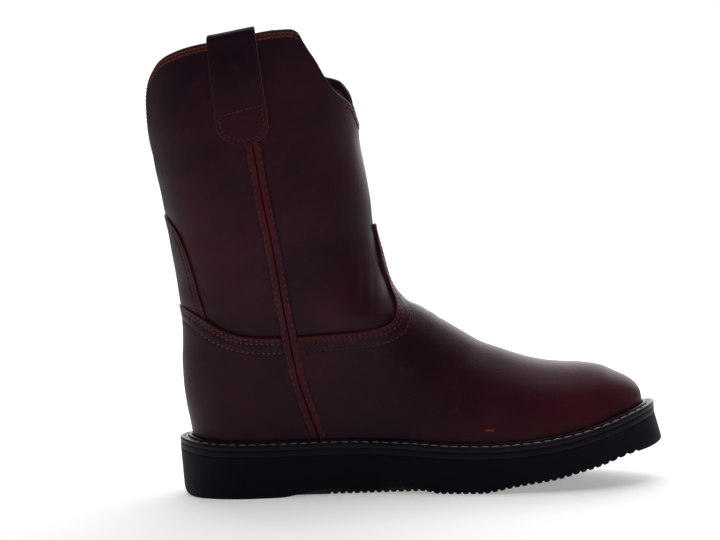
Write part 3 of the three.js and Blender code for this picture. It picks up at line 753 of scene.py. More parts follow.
def leather(name, base, deep, lift, rub_width, rub, roughness=0.46, rows=(), toe_wear_and_sheen=0.0, low_glow=0.0,
            braid=None, rub_colour=RUBBED, nick=None, attribute="edge"):
    """Oiled pull-up leather. Rows are the stitch rows' distances from the piece's edge, braid is a band's
    distance from the rim and its half width, and nick is a small scratch's place along the boot and height"""
    material, tree, shader, place = start_material(name, roughness)
    colour = use_group(tree, MOTTLE, Vector=place, Base=base, Deep=deep, Lift=lift)["Color"]
    spot = add_node(tree, "SeparateXYZ", Vector=place).outputs
    # Redder towards the toe: partly pull-up wear, partly a painted sheen where the light from above falls on the
    # toe
    if toe_wear_and_sheen:
        warm = times(tree, soft_step(tree, spot[0], 0.0, 0.13), toe_wear_and_sheen)
        colour = mix_colour(tree, warm, colour, RUBBED)
    if low_glow:
        warm = times(tree, soft_step(tree, spot[2], 0.252, 0.24), low_glow)
        colour = mix_colour(tree, warm, colour, RUBBED)
    edge = add_node(tree, "Attribute", attribute_name=attribute).outputs["Fac"]
    if braid:
        band = use_group(tree, ROW, Distance=edge, Row=braid[0], Width=braid[1])["Mask"]
        band = soft_step(tree, band, 0.05, 0.4)
        colour = mix_colour(tree, times(tree, band, 0.85), colour, BRAID_BROWN)
    mask = use_group(tree, RUB, Vector=place, Distance=edge, Width=rub_width)["Mask"]
    colour = mix_colour(tree, times(tree, mask, rub), colour, rub_colour)
    # Painted shade: each stitch row gets a dark line where its needle groove lies
    for row in rows:
        needle = use_group(tree, ROW, Distance=edge, Row=row, Width=0.9 * MM)["Mask"]
        colour = mix_colour(tree, times(tree, needle, 0.55), colour, NEEDLE_GROOVE_SHADE)
    specks = use_group(tree, DUST, Vector=place, Amount=0.04)["Mask"]
    colour = mix_colour(tree, specks, colour, PALE_SPECK)
    if nick:
        along = math_node(tree, "DIVIDE", math_node(tree, "SUBTRACT", spot[0], nick[0]), NICK_SIZE[0])
        aside = math_node(tree, "DIVIDE", math_node(tree, "SUBTRACT", spot[2], nick[1]), NICK_SIZE[1])
        away = math_node(tree, "ADD", times(tree, along, along), times(tree, aside, aside))
        inner_side = math_node(tree, "LESS_THAN", spot[1], 0.0)
        scratch = times(tree, soft_step(tree, away, 1.0, 0.3), inner_side)
        colour = mix_colour(tree, scratch, colour, NICK_ORANGE)
    tree.links.new(colour, shader.inputs["Base Color"])
    grain = use_group(tree, GRAIN, Vector=place, Pebble_Scale=720.0, Wrinkle=0.55)["Height"]
    worn = noise(tree, place, 30.0, 3.0)
    gloss = math_node(tree, "ADD", roughness - 0.1, times(tree, worn, 0.2))
    tree.links.new(gloss, shader.inputs["Roughness"])
    add_bump(tree, shader, grain, 0.22 * MM, 0.55)
    shader.inputs["Specular IOR Level"].default_value = 0.15
    shader.inputs["Specular Tint"].default_value = (1.0, 0.82, 0.89, 1)
    return material


LEATHER_BASE = linear(43, 15, 28)
LEATHER_DEEP = linear(32, 10, 25)
LEATHER_LIFT = linear(57, 20, 30)
upper_leather = leather("upper_leather", LEATHER_BASE, LEATHER_DEEP, LEATHER_LIFT, attribute="way",
                        rub_width=1 * MM, rub=0.2, braid=(3.3 * MM, 2.7 * MM))
vamp_leather = leather("vamp_leather", linear(43, 14, 27), linear(33, 10, 24), linear(58, 19, 29),
                       rub_width=8 * MM, rub=0.5, rows=EDGE_ROWS, toe_wear_and_sheen=0.4, nick=(53 * MM, 39.5 * MM))
counter_leather = leather("counter_leather", linear(40, 14, 27), linear(31, 10, 24), linear(52, 19, 29),
                          rub_width=7 * MM, rub=0.35, rows=EDGE_ROWS)
stay_leather = leather("stay_leather", LEATHER_BASE, LEATHER_DEEP, LEATHER_LIFT, rub_width=4 * MM, rub=0.35,
                       rows=STAY_ROWS)
seam_leather = leather("seam_leather", linear(66, 17, 24), linear(50, 12, 22), linear(84, 23, 28),
                       rub_width=2.6 * MM, rub=0.85, rub_colour=LEATHER_BASE)
strap_leather = leather("strap_leather", linear(38, 14, 27), linear(29, 10, 24), linear(48, 18, 29),
                        rub_width=3.2 * MM, rub=0.12, roughness=0.5, low_glow=0.2)


# %% [markdown]
# The rest of the finishes: the brown suede that lines the shaft and shows at the collar, the raw cut edge of the
# leather, the insole's smooth tan leather, the black rubbers and the threads. Suede is matt and has a nap, so it
# gets sheen and a soft noise, while rubber only has a faint cast texture and some dust.

# %% Suede, edges, rubber and thread
def suede(name, base, deep, scale):
    material, tree, shader, place = start_material(name, 0.9)
    fuzz = noise(tree, place, scale, 6.0)
    colour = mix_colour(tree, soft_step(tree, fuzz, 0.35, 0.65), deep, base)
    tree.links.new(colour, shader.inputs["Base Color"])
    shader.inputs["Sheen Weight"].default_value = 0.25
    shader.inputs["Specular IOR Level"].default_value = 0.2
    add_bump(tree, shader, fuzz, 0.3 * MM, 0.8)
    return material


def cut_edge(name, base, deep):
    """The raw edge of a hide: layered fibres"""
    material, tree, shader, place = start_material(name, 0.7)
    fibres = noise(tree, place, 1500.0, 3.0)
    tree.links.new(mix_colour(tree, fibres, deep, base), shader.inputs["Base Color"])
    add_bump(tree, shader, fibres, 0.15 * MM, 0.7)
    return material


def rubber(name, base, dusty, roughness, dust=0.25):
    material, tree, shader, place = start_material(name, roughness)
    cloud = noise(tree, place, 40.0, 4.0)
    fine = noise(tree, place, 1300.0, 3.0)
    colour = mix_colour(tree, times(tree, cloud, 0.3), base, dusty)
    specks = use_group(tree, DUST, Vector=place, Speck_Scale=600.0, Amount=dust)["Mask"]
    tree.links.new(mix_colour(tree, specks, colour, dusty), shader.inputs["Base Color"])
    gloss = math_node(tree, "ADD", roughness - 0.08, times(tree, cloud, 0.16))
    tree.links.new(gloss, shader.inputs["Roughness"])
    shader.inputs["Specular IOR Level"].default_value = 0.1
    shader.inputs["Specular Tint"].default_value = (0.9, 0.72, 1.0, 1)
    add_bump(tree, shader, fine, 0.12 * MM, 0.5)
    return material


def thread(name, base, shade):
    """Waxed twisted thread"""
    material, tree, shader, place = start_material(name, 0.6)
    twist = add_node(tree, "TexWave", Vector=place, Scale=900.0, Distortion=2.0).outputs["Fac"]
    tree.links.new(mix_colour(tree, twist, shade, base), shader.inputs["Base Color"])
    add_bump(tree, shader, twist, 0.1 * MM, 0.6)
    return material


lining = suede("suede_lining", linear(158, 82, 54), linear(116, 56, 37), 1400.0)
raw_edge = cut_edge("raw_edge", linear(142, 62, 38), linear(98, 42, 27))
dark_edge = cut_edge("dyed_edge", linear(34, 12, 16), linear(20, 7, 10))
insole_leather = suede("insole_leather", linear(150, 108, 72), linear(120, 84, 54), 500.0)
welt_rubber = rubber("welt_rubber", linear(19, 16, 22), linear(46, 42, 52), 0.36)
midsole_rubber = rubber("midsole_rubber", linear(16, 13, 19), linear(36, 32, 40), 0.5)
outsole_rubber = rubber("outsole_rubber", linear(7, 5, 10), linear(24, 20, 28), 0.6)
rust_thread = thread("rust_thread", linear(106, 46, 26), linear(66, 26, 15))
red_thread = thread("red_thread", linear(96, 34, 26), linear(66, 22, 20))
ochre_thread = thread("ochre_thread", linear(138, 76, 40), linear(92, 44, 22))
cream_thread = thread("cream_thread", linear(214, 204, 176), linear(150, 138, 110))
print("materials:", len(bpy.data.materials))

# %% [markdown]
# The upper is one hollow wall. The outside goes up the last ring by ring, turns over a rounded rim and comes
# down inside at the thickness of the leather, and the sheet is welded to itself underneath. The distance below
# the rim is kept on the mesh, because the collar's stitching and its rubbed band follow it.

# %% The upper
RIM = LEATHER_WALL / 2
way_below = np.zeros((ROWS, COLUMNS))
climbs = np.linalg.norm(np.diff(last, axis=0), axis=2)
way_below[:-1] = np.cumsum(climbs[::-1], axis=0)[::-1]
LINING_STEP = 4
SUEDE_ZONE = 1
EDGE_ZONE = 2


def upper_rows():
    """Rows of points from the foot outside, over the rim, down inside and back to the start"""
    top = last[-1]
    down = unit(last[-3] - top)
    rows = [last[r] for r in range(ROWS - 2)]
    ways = [way_below[r] for r in range(ROWS - 2)]
    zones = [0] * (ROWS - 2)
    for turn in np.linspace(0, np.pi, 7):
        out = last_normal[-1] * (RIM * (math.cos(turn) - 1))
        rows.append(top + out + down * (RIM * (1 - math.sin(turn))))
        ways.append(np.full(COLUMNS, RIM * (1 - math.sin(turn))))
        zones.append(EDGE_ZONE)
    for r in range(ROWS - 1 - LINING_STEP, -1, -LINING_STEP):
        rows.append(last[r] - last_normal[r] * LEATHER_WALL)
        ways.append(np.full(COLUMNS, 60 * MM))
        zones.append(SUEDE_ZONE)
    rows.append(rows[0])
    ways.append(ways[0])
    return np.array(rows), np.array(ways), zones


def wrap(grid):
    """The first column again at the end, to close the round"""
    return np.concatenate([grid, grid[:, :1]], axis=1)


top_span = (last[-1, :, 0] - last[-1, :, 0].min()) / np.ptp(last[-1, :, 0])
top_around = np.arccos(1 - 2 * top_span) / np.pi
plain_front = ease(0.66, 0.7, top_around) * (1 - ease(0.86, 0.9, top_around))
rows, ways, zones = upper_rows()
ways = ways + 20 * MM * plain_front
zone_grid = np.repeat(np.array(zones)[:, None], COLUMNS, axis=1)
upper_bm = folded_sheet(wrap(rows), zone_grid, {"way": wrap(ways)})
finish_piece("shaft_and_foot", upper_bm, [upper_leather, lining, dark_edge], ("upper",))

# %% [markdown]
# The vamp, the counter and the back stay are cut flat, as a maker cuts them: a sheet in the last's own rows and
# columns, trimmed along lines. Each line is a field over the last, which is positive inside the piece and counts
# the distance from the edge. Lifting the flat sheet by the field and slicing it level cuts it exactly on the
# line, and a few more slices beside the edge give it a rounded lip and the dips under the stitch rows.

# %% Fields over the last
def smooth_min(a, b, soft):
    near = np.maximum(soft - np.abs(a - b), 0) / soft
    return np.minimum(a, b) - near * near * soft / 4


def zero_line(field):
    """Short straight pieces over the leather of the line where a field is zero"""
    above = field > 0
    right = np.roll(above, -1, axis=1)
    same = (above[:-1] == right[:-1]) & (above[:-1] == above[1:]) & (above[:-1] == right[1:])
    pieces = []
    for row, column in np.argwhere(~same):
        following = (column + 1) % COLUMNS
        corners = [(row, column), (row, following), (row + 1, following), (row + 1, column)]
        hits = []
        for a, b in zip(corners, corners[1:] + corners[:1]):
            if above[a] != above[b]:
                hits.append(mix(last[a], last[b], field[a] / (field[a] - field[b])))
        if len(hits) == 2:
            pieces.append(hits)
    return np.array(pieces)


def as_distance(field):
    """The same line as a real distance over the leather, so that every row of stitches runs true"""
    pieces = zero_line(field)
    start = pieces[:, 0]
    line = pieces[:, 1] - start
    length = np.maximum((line ** 2).sum(1), 1e-12)
    distance = np.zeros(field.shape)
    for row in range(ROWS):
        away = last[row][:, None] - start[None]
        t = np.clip((away * line).sum(2) / length, 0, 1)
        distance[row] = np.linalg.norm(away - t[:, :, None] * line, axis=2).min(1)
    return np.where(field > 0, distance, -distance)


last_x = last[:, :, 0]
last_y = last[:, :, 1]
last_z = last[:, :, 2]
last_side = np.where(last_y < 0, -1.0, 1.0)
tongue_x = SOLE_LENGTH * read_table(TONGUE_EDGE, share_of(last_z))
tongue_side = half_width(tongue_x, last_z, last_side) - np.abs(last_y)
tongue_side = np.where(last_x > tongue_x - 40 * MM, tongue_side, -40 * MM)
tongue = smooth_min(tongue_side, height_of(TONGUE_TOP) - last_z, 4 * MM)
low_tongue = smooth_min(tongue_side, height_of(LOW_ROW_TOP) - last_z, 4 * MM)
below_line = height_of(read_table(OVERLAY_TOP, last_x / SOLE_LENGTH)) - last_z
top_field = as_distance(-smooth_min(-tongue, -below_line, 5 * MM))
low_field = as_distance(-smooth_min(-low_tongue, -below_line, 5 * MM))
seam_field = as_distance(last_x - seam_x(last_z))
welt_field = last_z - welt_top(last_x)
stay_field = as_distance(SOLE_LENGTH * read_table(STAY_EDGE, share_of(last_z)) - last_x)
print("rows of the tongue:", int((tongue[:, COLUMNS // 2] > 0).sum()))


# %% Cutting a pattern
LIP = 0.8 * MM
NEEDLE_DIP = 0.28 * MM


def flat_sheet(first_row, last_row, first_column, last_column, row_step=2):
    """An uncut sheet: x is the column and y is the row of the last"""
    wide = last_column - first_column
    tall = last_row - first_row
    bm = bmesh.new()
    bmesh.ops.create_grid(bm, x_segments=wide, y_segments=tall // row_step, size=0.5)
    bmesh.ops.scale(bm, vec=(wide, tall, 1), verts=bm.verts[:])
    middle = ((first_column + last_column) / 2, (first_row + last_row) / 2, 0)
    bmesh.ops.translate(bm, vec=middle, verts=bm.verts[:])
    return bm


def pattern_places(bm):
    places = np.array([vertex.co[:2] for vertex in bm.verts])
    return places[:, 1], places[:, 0]


def slice_sheet(bm, field, at, clear):
    """The sheet lifted by a field and cut level. Returns the edges of the cut"""
    heights = sample(field, *pattern_places(bm)) / MM
    for vertex, height in zip(bm.verts, heights):
        vertex.co.z = height
    geom = bm.verts[:] + bm.edges[:] + bm.faces[:]
    cut = bmesh.ops.bisect_plane(bm, geom=geom, dist=0.01, plane_co=(0, 0, at / MM), plane_no=(0, 0, 1),
                                 clear_inner=clear)
    return [item for item in cut["geom_cut"] if isinstance(item, bmesh.types.BMEdge)]


def lip_height(distance, thickness):
    """Height of a cut edge: a low wall with a rounded top"""
    turn = np.clip(distance / LIP, 0, 1)
    return thickness * (0.62 + 0.38 * np.sqrt(1 - (1 - turn) ** 2))


def overlay(name, layer, material, node):
    """A second layer of leather, cut from its sheet and laid on the last"""
    sheet, keeps, thickness, dips = LAYERS[layer]
    bm = flat_sheet(*sheet)
    for field in keeps:
        slice_sheet(bm, field, 0.0, True)
    for at in (0.15 * MM, 0.4 * MM, LIP):
        slice_sheet(bm, keeps[0], at, False)
    for field, dip in dips:
        for aside in (-0.5 * MM, 0, 0.5 * MM):
            slice_sheet(bm, field, dip + aside, False)
    top_layer = bm.verts.layers.float.new("top")
    grown = bmesh.ops.extrude_face_region(bm, geom=bm.faces[:], use_keep_orig=True)
    for item in grown["geom"]:
        if isinstance(item, bmesh.types.BMVert):
            item[top_layer] = 1
    rows, columns = pattern_places(bm)
    edge = np.maximum(sample(keeps[0], rows, columns), 0)
    height = lip_height(edge, thickness)
    for field, dip in dips:
        height = height - NEEDLE_DIP * bump(sample(field, rows, columns) - dip, 0.55 * MM)
    is_top = np.array([vertex[top_layer] for vertex in bm.verts])
    points = on_last(rows, columns, GAP + is_top * height)
    edge_layer = bm.verts.layers.float.new("edge")
    for vertex, point, distance in zip(bm.verts, points, edge):
        vertex.co = point
        vertex[edge_layer] = distance
    bmesh.ops.recalc_face_normals(bm, faces=bm.faces[:])
    finish_piece(name, bm, [material], (node,), sharp=50)


QUARTER = COLUMNS // 4
HALF = COLUMNS // 2
VAMP_MARGIN = 30
STAY_COLUMNS = 36
SEAM_GAP = 0.05 * MM
seam_side = SEAM_WIDTH / 2 + SEAM_GAP
above_welt = welt_field - GAP
overlay_rows = [*[(top_field, row) for row in EDGE_ROWS], (low_field, LOW_ROW)]
# Layers. Columns: the uncut sheet (first and last row, first and last column, row step), the fields that bound
# the piece with its stitched edge first, the thickness, and each row of stitches as a field and a distance
LAYERS = {
    "vamp": ((0, (FOOT_RINGS + 3) * FINE, QUARTER - VAMP_MARGIN, 3 * QUARTER + VAMP_MARGIN),
             (top_field, seam_field - seam_side, above_welt), OVERLAY, overlay_rows),
    "counter": ((0, FOOT_RINGS * FINE, -QUARTER, QUARTER),
                (top_field, -seam_field - seam_side, above_welt), OVERLAY, overlay_rows),
    "stay": (((FOOT_RINGS - 6) * FINE, (FOOT_RINGS + 5) * FINE, -STAY_COLUMNS, STAY_COLUMNS, 1),
             (stay_field, -top_field - GAP), STAY, [(stay_field, row) for row in STAY_ROWS]),
}
overlay("toe_vamp", "vamp", vamp_leather, "vamp")
overlay("heel_counter", "counter", counter_leather, "counter")
overlay("heel_stay", "stay", stay_leather, "back_stay")

# %% [markdown]
# A seam runs down each side, where the back of the boot is joined to the front. The edges are folded and sewn
# down, so it shows as two soft ridges with a dark groove between and a row of stitches on each. Below the
# overlays' line it lies level with them. It is a strip laid over the side of the last, a profile across and
# stations up.

# %% Side seams
SEAM_STATIONS = 130
SEAM_ROW = 3.7 * MM
SEAM_TOP = height_of(0.725) + 1.0 * MM
SEAM_SHOULDER = 1.2 * MM
SEAM_GROOVE = 0.9 * MM


def seam_profile(u, z):
    """Height of the seam at a distance from its groove"""
    low = 1 - ease(height_of(0.25), height_of(0.262), z)
    full = mix(SEAM_RISE, OVERLAY, low)
    lip = np.clip((SEAM_WIDTH / 2 - np.abs(u)) / mix(2.2 * MM, 0.6 * MM, low), 0, 1)
    height = full * (mix(0.1, 0.96, low) + mix(0.9, 0.04, low) * np.sqrt(1 - (1 - lip) ** 2))
    groove = 1.1 * MM * bump(u, 0.4 * MM) + NEEDLE_DIP * bump(np.abs(u) - SEAM_ROW, 0.5 * MM)
    return height - groove


def seam_strip(side):
    bottom = welt_top(seam_x(height_of(0.015))) + GAP
    z = np.linspace(float(bottom), SEAM_TOP, SEAM_STATIONS)[:, None]
    half = SEAM_WIDTH / 2
    stops = [-half, SEAM_SHOULDER - half, -SEAM_GROOVE, SEAM_GROOVE, half - SEAM_SHOULDER, half]
    spans = zip(stops, stops[1:], (4, 7, 8, 7, 4))
    u = np.concatenate([*[np.linspace(start, end, steps + 1)[:-1] for start, end, steps in spans], [half]])
    across = np.concatenate([u, [half, 0, -half, -half]])[None, :]
    height = seam_profile(across, z)
    height[:, len(u):-1] = 0
    points, _ = side_point(seam_x(z) + across, z + 0 * across, side, GAP + height)
    edge = np.broadcast_to(half - np.abs(across), height.shape)
    return points, edge


for side, end in ((-1, "inner"), (1, "outer")):
    points, edge = seam_strip(side)
    bm = folded_sheet(points, marks={"edge": edge})
    close_ends(bm)
    bmesh.ops.recalc_face_normals(bm, faces=bm.faces[:])
    finish_piece("seam_band_" + end, bm, [seam_leather], ("side_seam_" + end,), sharp=50)

# %% [markdown]
# The pull straps are two thick strips folded over the collar and box-stitched outside. The outside leg ends in a
# rounded tongue, stands a little off the leather in its middle, and shows its raw edge. A flat strip could be
# bent with a curve modifier, but a section carried along the fold keeps its thickness over the tight turn.

# %% Pull straps
STRAP_LOW = height_of(0.725)
STRAP_TOP = height_of(1.007)
STRAP_INSIDE_LOW = height_of(0.887)
STRAP_ROUND = 14 * MM
STRAP_TIP = 0.8 * STRAP_ROUND
STRAP_SHARES_TOP = (-0.382, -0.284)
STRAP_SHARES_LOW = (-0.367, -0.262)
STRAP_CORNER = 0.7 * MM
STRAP_HALF = 16.5 * MM
BOX_TOP_LEFT = height_of(0.7925)
BOX_TOP_RIGHT = height_of(0.8185)
collar_level = height_of(0.887)


def collar_at(x):
    """Height of the collar at a length"""
    span = np.clip((x - back_x(collar_level)) / (front_x(collar_level) - back_x(collar_level)), 0, 1)
    return height_of(read_table(COLLAR_INNER, np.arccos(1 - 2 * span) / np.pi))


def strap_x(across, z):
    """Length at a place across the strap, from -1 to 1, and a height"""
    s = (across + 1) / 2
    low = SOLE_LENGTH * mix(*STRAP_SHARES_LOW, s)
    top = SOLE_LENGTH * mix(*STRAP_SHARES_TOP, s)
    return mix(low, top, np.clip((z - STRAP_LOW) / (STRAP_TOP - STRAP_LOW), 0, 1))


def strap_width(rise):
    """Share of the full width at a rise above the strap's rounded end"""
    turn = 1 - (1 - np.clip(rise / STRAP_ROUND, 0, 1)) ** 2
    return np.clip(turn / 0.96, 0, 1) ** (1 / 2.4)


def strap_section():
    """Round the strap's section: across from -1 to 1, and thickness from -0.5 to 0.5"""
    corner = STRAP_CORNER / STRAP_HALF
    depth = STRAP_CORNER / STRAP
    section = []
    for sx, st, first in ((1, 1, 90), (1, -1, 0), (-1, -1, -90), (-1, 1, 180)):
        for turn in np.radians(np.linspace(first, first - 90, 5)):
            section.append((sx * (1 - corner) + corner * math.cos(turn),
                            st * (0.5 - depth) + depth * math.sin(turn)))
        if first in (90, -90):
            continue
        for share in np.linspace(0, 1, 10)[1:-1]:
            section.append((sx * (1 - corner) * (1 - 2 * share), -0.5 if first == 0 else 0.5))
    section.append(section[0])
    return np.array(section)


def strap_sheet(side):
    """Rows of points along a strap: its rounded end, the outside leg, the fold and the inside leg"""
    section = strap_section()
    across, thick = section[:, 0], section[:, 1]
    rows, marks = [], []
    fold_at = -LEATHER_WALL / 2
    fold_z = collar_at(strap_x(across, STRAP_TOP)) + 0.1 * MM
    radius = GAP + STRAP / 2 + LEATHER_WALL / 2
    for turn in np.linspace(0, np.pi / 2, 12):
        rise = STRAP_TIP * (1 - math.cos(turn))
        width = float(strap_width(rise))
        z = np.full(len(across), STRAP_LOW + rise)
        rows.append((across * width, GAP + STRAP / 2 + thick * STRAP, z))
    for q in np.linspace(0, 1, 34)[1:]:
        z = mix(STRAP_LOW + STRAP_TIP, fold_z, q)
        stand = 0.9 * MM * math.sin(math.pi * ease(0.12, 1.0, q))
        rows.append((across, GAP + STRAP / 2 + thick * STRAP + stand, z))
    for turn in np.linspace(0, np.pi, 13)[1:]:
        reach = radius + thick * STRAP
        rows.append((across, fold_at + reach * math.cos(turn), fold_z + reach * math.sin(turn)))
    for q in np.linspace(0, 1, 12)[1:]:
        rows.append((across, fold_at - radius - thick * STRAP, mix(fold_z, STRAP_INSIDE_LOW, q)))
    points = []
    for place, distance, z in rows:
        points.append(side_point(strap_x(place, z), z, side, distance)[0])
        marks.append(np.clip((1 - np.abs(place)) * STRAP_HALF, 0, None))
    wall = 1 - 0.3 * STRAP_CORNER / STRAP_HALF
    edge_zone = (np.abs(across[:-1]) > wall) & (np.abs(across[1:]) > wall)
    zones = np.tile(edge_zone.astype(int), (len(rows) - 1, 1))
    return np.array(points), np.array(marks), zones


for side, end in ((-1, "inner"), (1, "outer")):
    points, marks, zones = strap_sheet(side)
    bm = folded_sheet(points, zones, {"edge": marks})
    close_ends(bm)
    bmesh.ops.recalc_face_normals(bm, faces=bm.faces[:])
    finish_piece("pull_loop_" + end, bm, [strap_leather, raw_edge], ("pull_strap_" + end,), 50)

# %% [markdown]
# The sole is three rubbers, one on another: the welt that is stitched to the upper, a thin midsole and a wedge.
# The welt is a ring swept round the foot with one profile: a rounded bead against the leather, a groove, a
# channel for the thread and a rounded edge. The plates are cut as level prisms with slices across the tread, and
# then bent to the sole's lines, so that the ribs run straight across and still show at the edge. A wedge sole
# bears on the ground nearly all along, so its arch is only a low notch on the inner side.

# %% The welt
# Profile. Columns: distance from the foot and height over the welt's top, in millimetres
WELT_PROFILE = [
    (0.45, -3.4), (0.45, -0.6), (0.7, 0), (2.3, 0.02), (2.42, 0.5), (2.7, 1.05), (3.15, 1.5), (3.75, 1.72),
    (4.4, 1.62), (4.95, 1.25), (5.3, 0.7), (5.45, 0.2), (5.65, -0.2), (6.0, -0.28), (6.3, -0.02), (6.55, 0.1),
    (6.95, 0.1), (7.2, -0.1), (7.5, -0.26), (7.8, -0.1), (8.05, 0.1), (9.1, 0.08), (9.75, -0.1), (10.2, -0.45),
    (10.46, -1), (10.5, -1.7), (10.44, -3.2), (10.3, -3.5), (9.8, -3.6), (6, -3.4), (3, -3.4), (0.45, -3.4),
]
FIXED_REACH = 5.65 * MM


def welt_place(distance, height):
    """Points round the foot at a distance and height. Past the bead the profile widens with the sole"""
    full = sole_reach(foot_loop[:, 0])
    if distance > FIXED_REACH:
        share = (distance - FIXED_REACH) / (WELT_REACH - FIXED_REACH)
        distance = mix(FIXED_REACH, full, share)
    loop = offset_loop(foot_loop, distance)
    loop[:, 2] = welt_top(loop[:, 0]) + height
    return loop


welt_rows = np.array([welt_place(d * MM, h * MM) for d, h in WELT_PROFILE])
welt_bm = folded_sheet(wrap(welt_rows))
bmesh.ops.recalc_face_normals(welt_bm, faces=welt_bm.faces[:])
finish_piece("storm_welt", welt_bm, [welt_rubber], ("welt",), sharp=60)


# %% Plates of the sole
def plate(loop, wall, cuts, low, high, rib=None, side_cuts=(), lean=None):
    """A plate inside a loop. Wall rows are an inset in millimetres and a share of the height"""
    rows = []
    for inset, share in wall:
        row = offset_loop(loop, -inset * MM)
        row[:, 2] = share
        rows.append(row)
    bm = folded_sheet(wrap(np.array(rows)))
    close_ends(bm)
    planes = [((x, 0, 0), (1, 0, 0)) for x in cuts] + [((0, y, 0), (0, 1, 0)) for y in side_cuts]
    for place, normal in planes:
        geom = bm.verts[:] + bm.edges[:] + bm.faces[:]
        bmesh.ops.bisect_plane(bm, geom=geom, dist=0.01 * MM, plane_co=place, plane_no=normal)
    places = np.array([vertex.co for vertex in bm.verts])
    z = mix(low(places), high(places), places[:, 2])
    if rib is not None:
        z = z + rib(places[:, 0]) * np.clip(1 - places[:, 2] / 0.14, 0, 1)
    x = places[:, 0]
    if lean is not None:
        x = x + lean(x) * (1 - places[:, 2])
    for vertex, ahead, height in zip(bm.verts, x, z):
        vertex.co.x = ahead
        vertex.co.z = height
    bmesh.ops.recalc_face_normals(bm, faces=bm.faces[:])
    return bm


TREAD_PITCH = 4.7 * MM
TREAD_DEPTH = 1.2 * MM
RIB_START = -0.19 * SOLE_LENGTH
RIB_END = 0.45 * SOLE_LENGTH
RIB_COUNT = int((RIB_END - RIB_START) / TREAD_PITCH)
# One rib. Columns: share of the pitch, share of the depth
RIB_ROWS = [(0, 0), (0.5, 0), (0.64, 0.7), (0.755, 1), (0.87, 0.7), (1, 0)]


def rib_depth(x):
    """Depth of the grooves between the ribs"""
    share = ((x - RIB_START) / TREAD_PITCH) % 1
    depth = np.interp(share, [row[0] for row in RIB_ROWS], [row[1] for row in RIB_ROWS])
    inside = (x > RIB_START - 0.01 * MM) & (x < RIB_START + RIB_COUNT * TREAD_PITCH + 0.01 * MM)
    return TREAD_DEPTH * depth * inside


rib_cuts = [RIB_START + (i + share) * TREAD_PITCH for i in range(RIB_COUNT) for share, _ in RIB_ROWS[:-1]]
rib_cuts.append(RIB_START + RIB_COUNT * TREAD_PITCH)
heel_cuts = list(np.linspace(-0.4975, -0.45, 16) * SOLE_LENGTH)
heel_cuts += list(np.linspace(-0.44, -0.2, 26) * SOLE_LENGTH)
toe_cuts = list(np.linspace(0.455, 0.498, 10) * SOLE_LENGTH)
plain_cuts = list(np.linspace(-0.49, 0.495, 60) * SOLE_LENGTH)


def under_welt(depth):
    """A level at a depth under the top of the welt"""
    return lambda places: welt_top(places[:, 0]) - depth


# Where the arch starts to close and is closed, from the middle, and how far the toe's wall leans out
ARCH_SIDE = (-34 * MM, -28 * MM)
TOE_LEAN = 5.6 * MM


def ground_side(places):
    """Ground side of the outsole. The arch is a low notch along the inner side and closed behind it"""
    x = places[:, 0]
    arch = (x > -0.285 * SOLE_LENGTH) & (x < 0.048 * SOLE_LENGTH)
    closed = ease(ARCH_SIDE[0], ARCH_SIDE[1], places[:, 1]) * arch
    return ground_line(x) * (1 - closed)


def toe_lean(x):
    """How far the foot of the sole's front wall stands out beyond its top"""
    return TOE_LEAN * ease(0.38 * SOLE_LENGTH, 0.5 * SOLE_LENGTH, x)


OUTSOLE_WALL = [(1.75, 0), (1.35, 0.02), (1.2, 0.05), (1.05, 0.14), (0.75, 0.4), (0.4, 0.7), (0.12, 0.94),
                (0.1, 0.99), (0.2, 1)]
SOLE_TOP = WELT + MIDSOLE + 2 * GAP
outsole_bm = plate(sole_loop, OUTSOLE_WALL, heel_cuts + rib_cuts + toe_cuts, ground_side, under_welt(SOLE_TOP),
                   rib_depth, np.linspace(*ARCH_SIDE, 7), toe_lean)
finish_piece("wedge_outsole", outsole_bm, [outsole_rubber], ("outsole",), sharp=32)
MIDSOLE_WALL = [(0.2, 0), (0.05, 0.06), (0.05, 0.9), (0.2, 1)]
midsole_bm = plate(sole_loop, MIDSOLE_WALL, plain_cuts, under_welt(SOLE_TOP - 0.05 * MM),
                   under_welt(WELT + 0.25 * MM))
finish_piece("thin_midsole", midsole_bm, [midsole_rubber], ("midsole",), sharp=60)
INSOLE_WALL = [(0.4, 0), (0, 0.2), (0, 0.75), (0.4, 1)]
insole_loop = offset_loop(foot_loop, -(LEATHER_WALL + 1.5 * MM))
insole_bm = plate(insole_loop, INSOLE_WALL, plain_cuts, under_welt(WELT), under_welt(WELT - INSOLE))
finish_piece("insole_board", insole_bm, [insole_leather], ("insole",), sharp=60)

# %% [markdown]
# Thread is what tells a real boot from a smooth one. Each stitch is a small rounded bar that sinks into the
# leather at both ends, a little shorter than the needle's step. Rows of one thread are joined into a few meshes.
# Their lines are taken from the same fields as the cuts, so a row keeps its distance from the edge round every
# corner.

# %% Sewing
random = np.random.default_rng(7)
# Stitches. Columns: pitch, length and half thickness
VAMP_STITCH = (3.4 * MM, 2.1 * MM, 0.38 * MM)
COUNTER_STITCH = (3.4 * MM, 2.0 * MM, 0.4 * MM)
STAY_STITCH = (3.0 * MM, 2.0 * MM, 0.3 * MM)
SEAM_STITCH = (4.4 * MM, 2.6 * MM, 0.36 * MM)
COLLAR_STITCH = (2.9 * MM, 2.8 * MM, 0.5 * MM)
STRAP_STITCH = (2.9 * MM, 1.9 * MM, 0.32 * MM)
WELT_STITCH = (6.6 * MM, 5.3 * MM, 0.55 * MM)


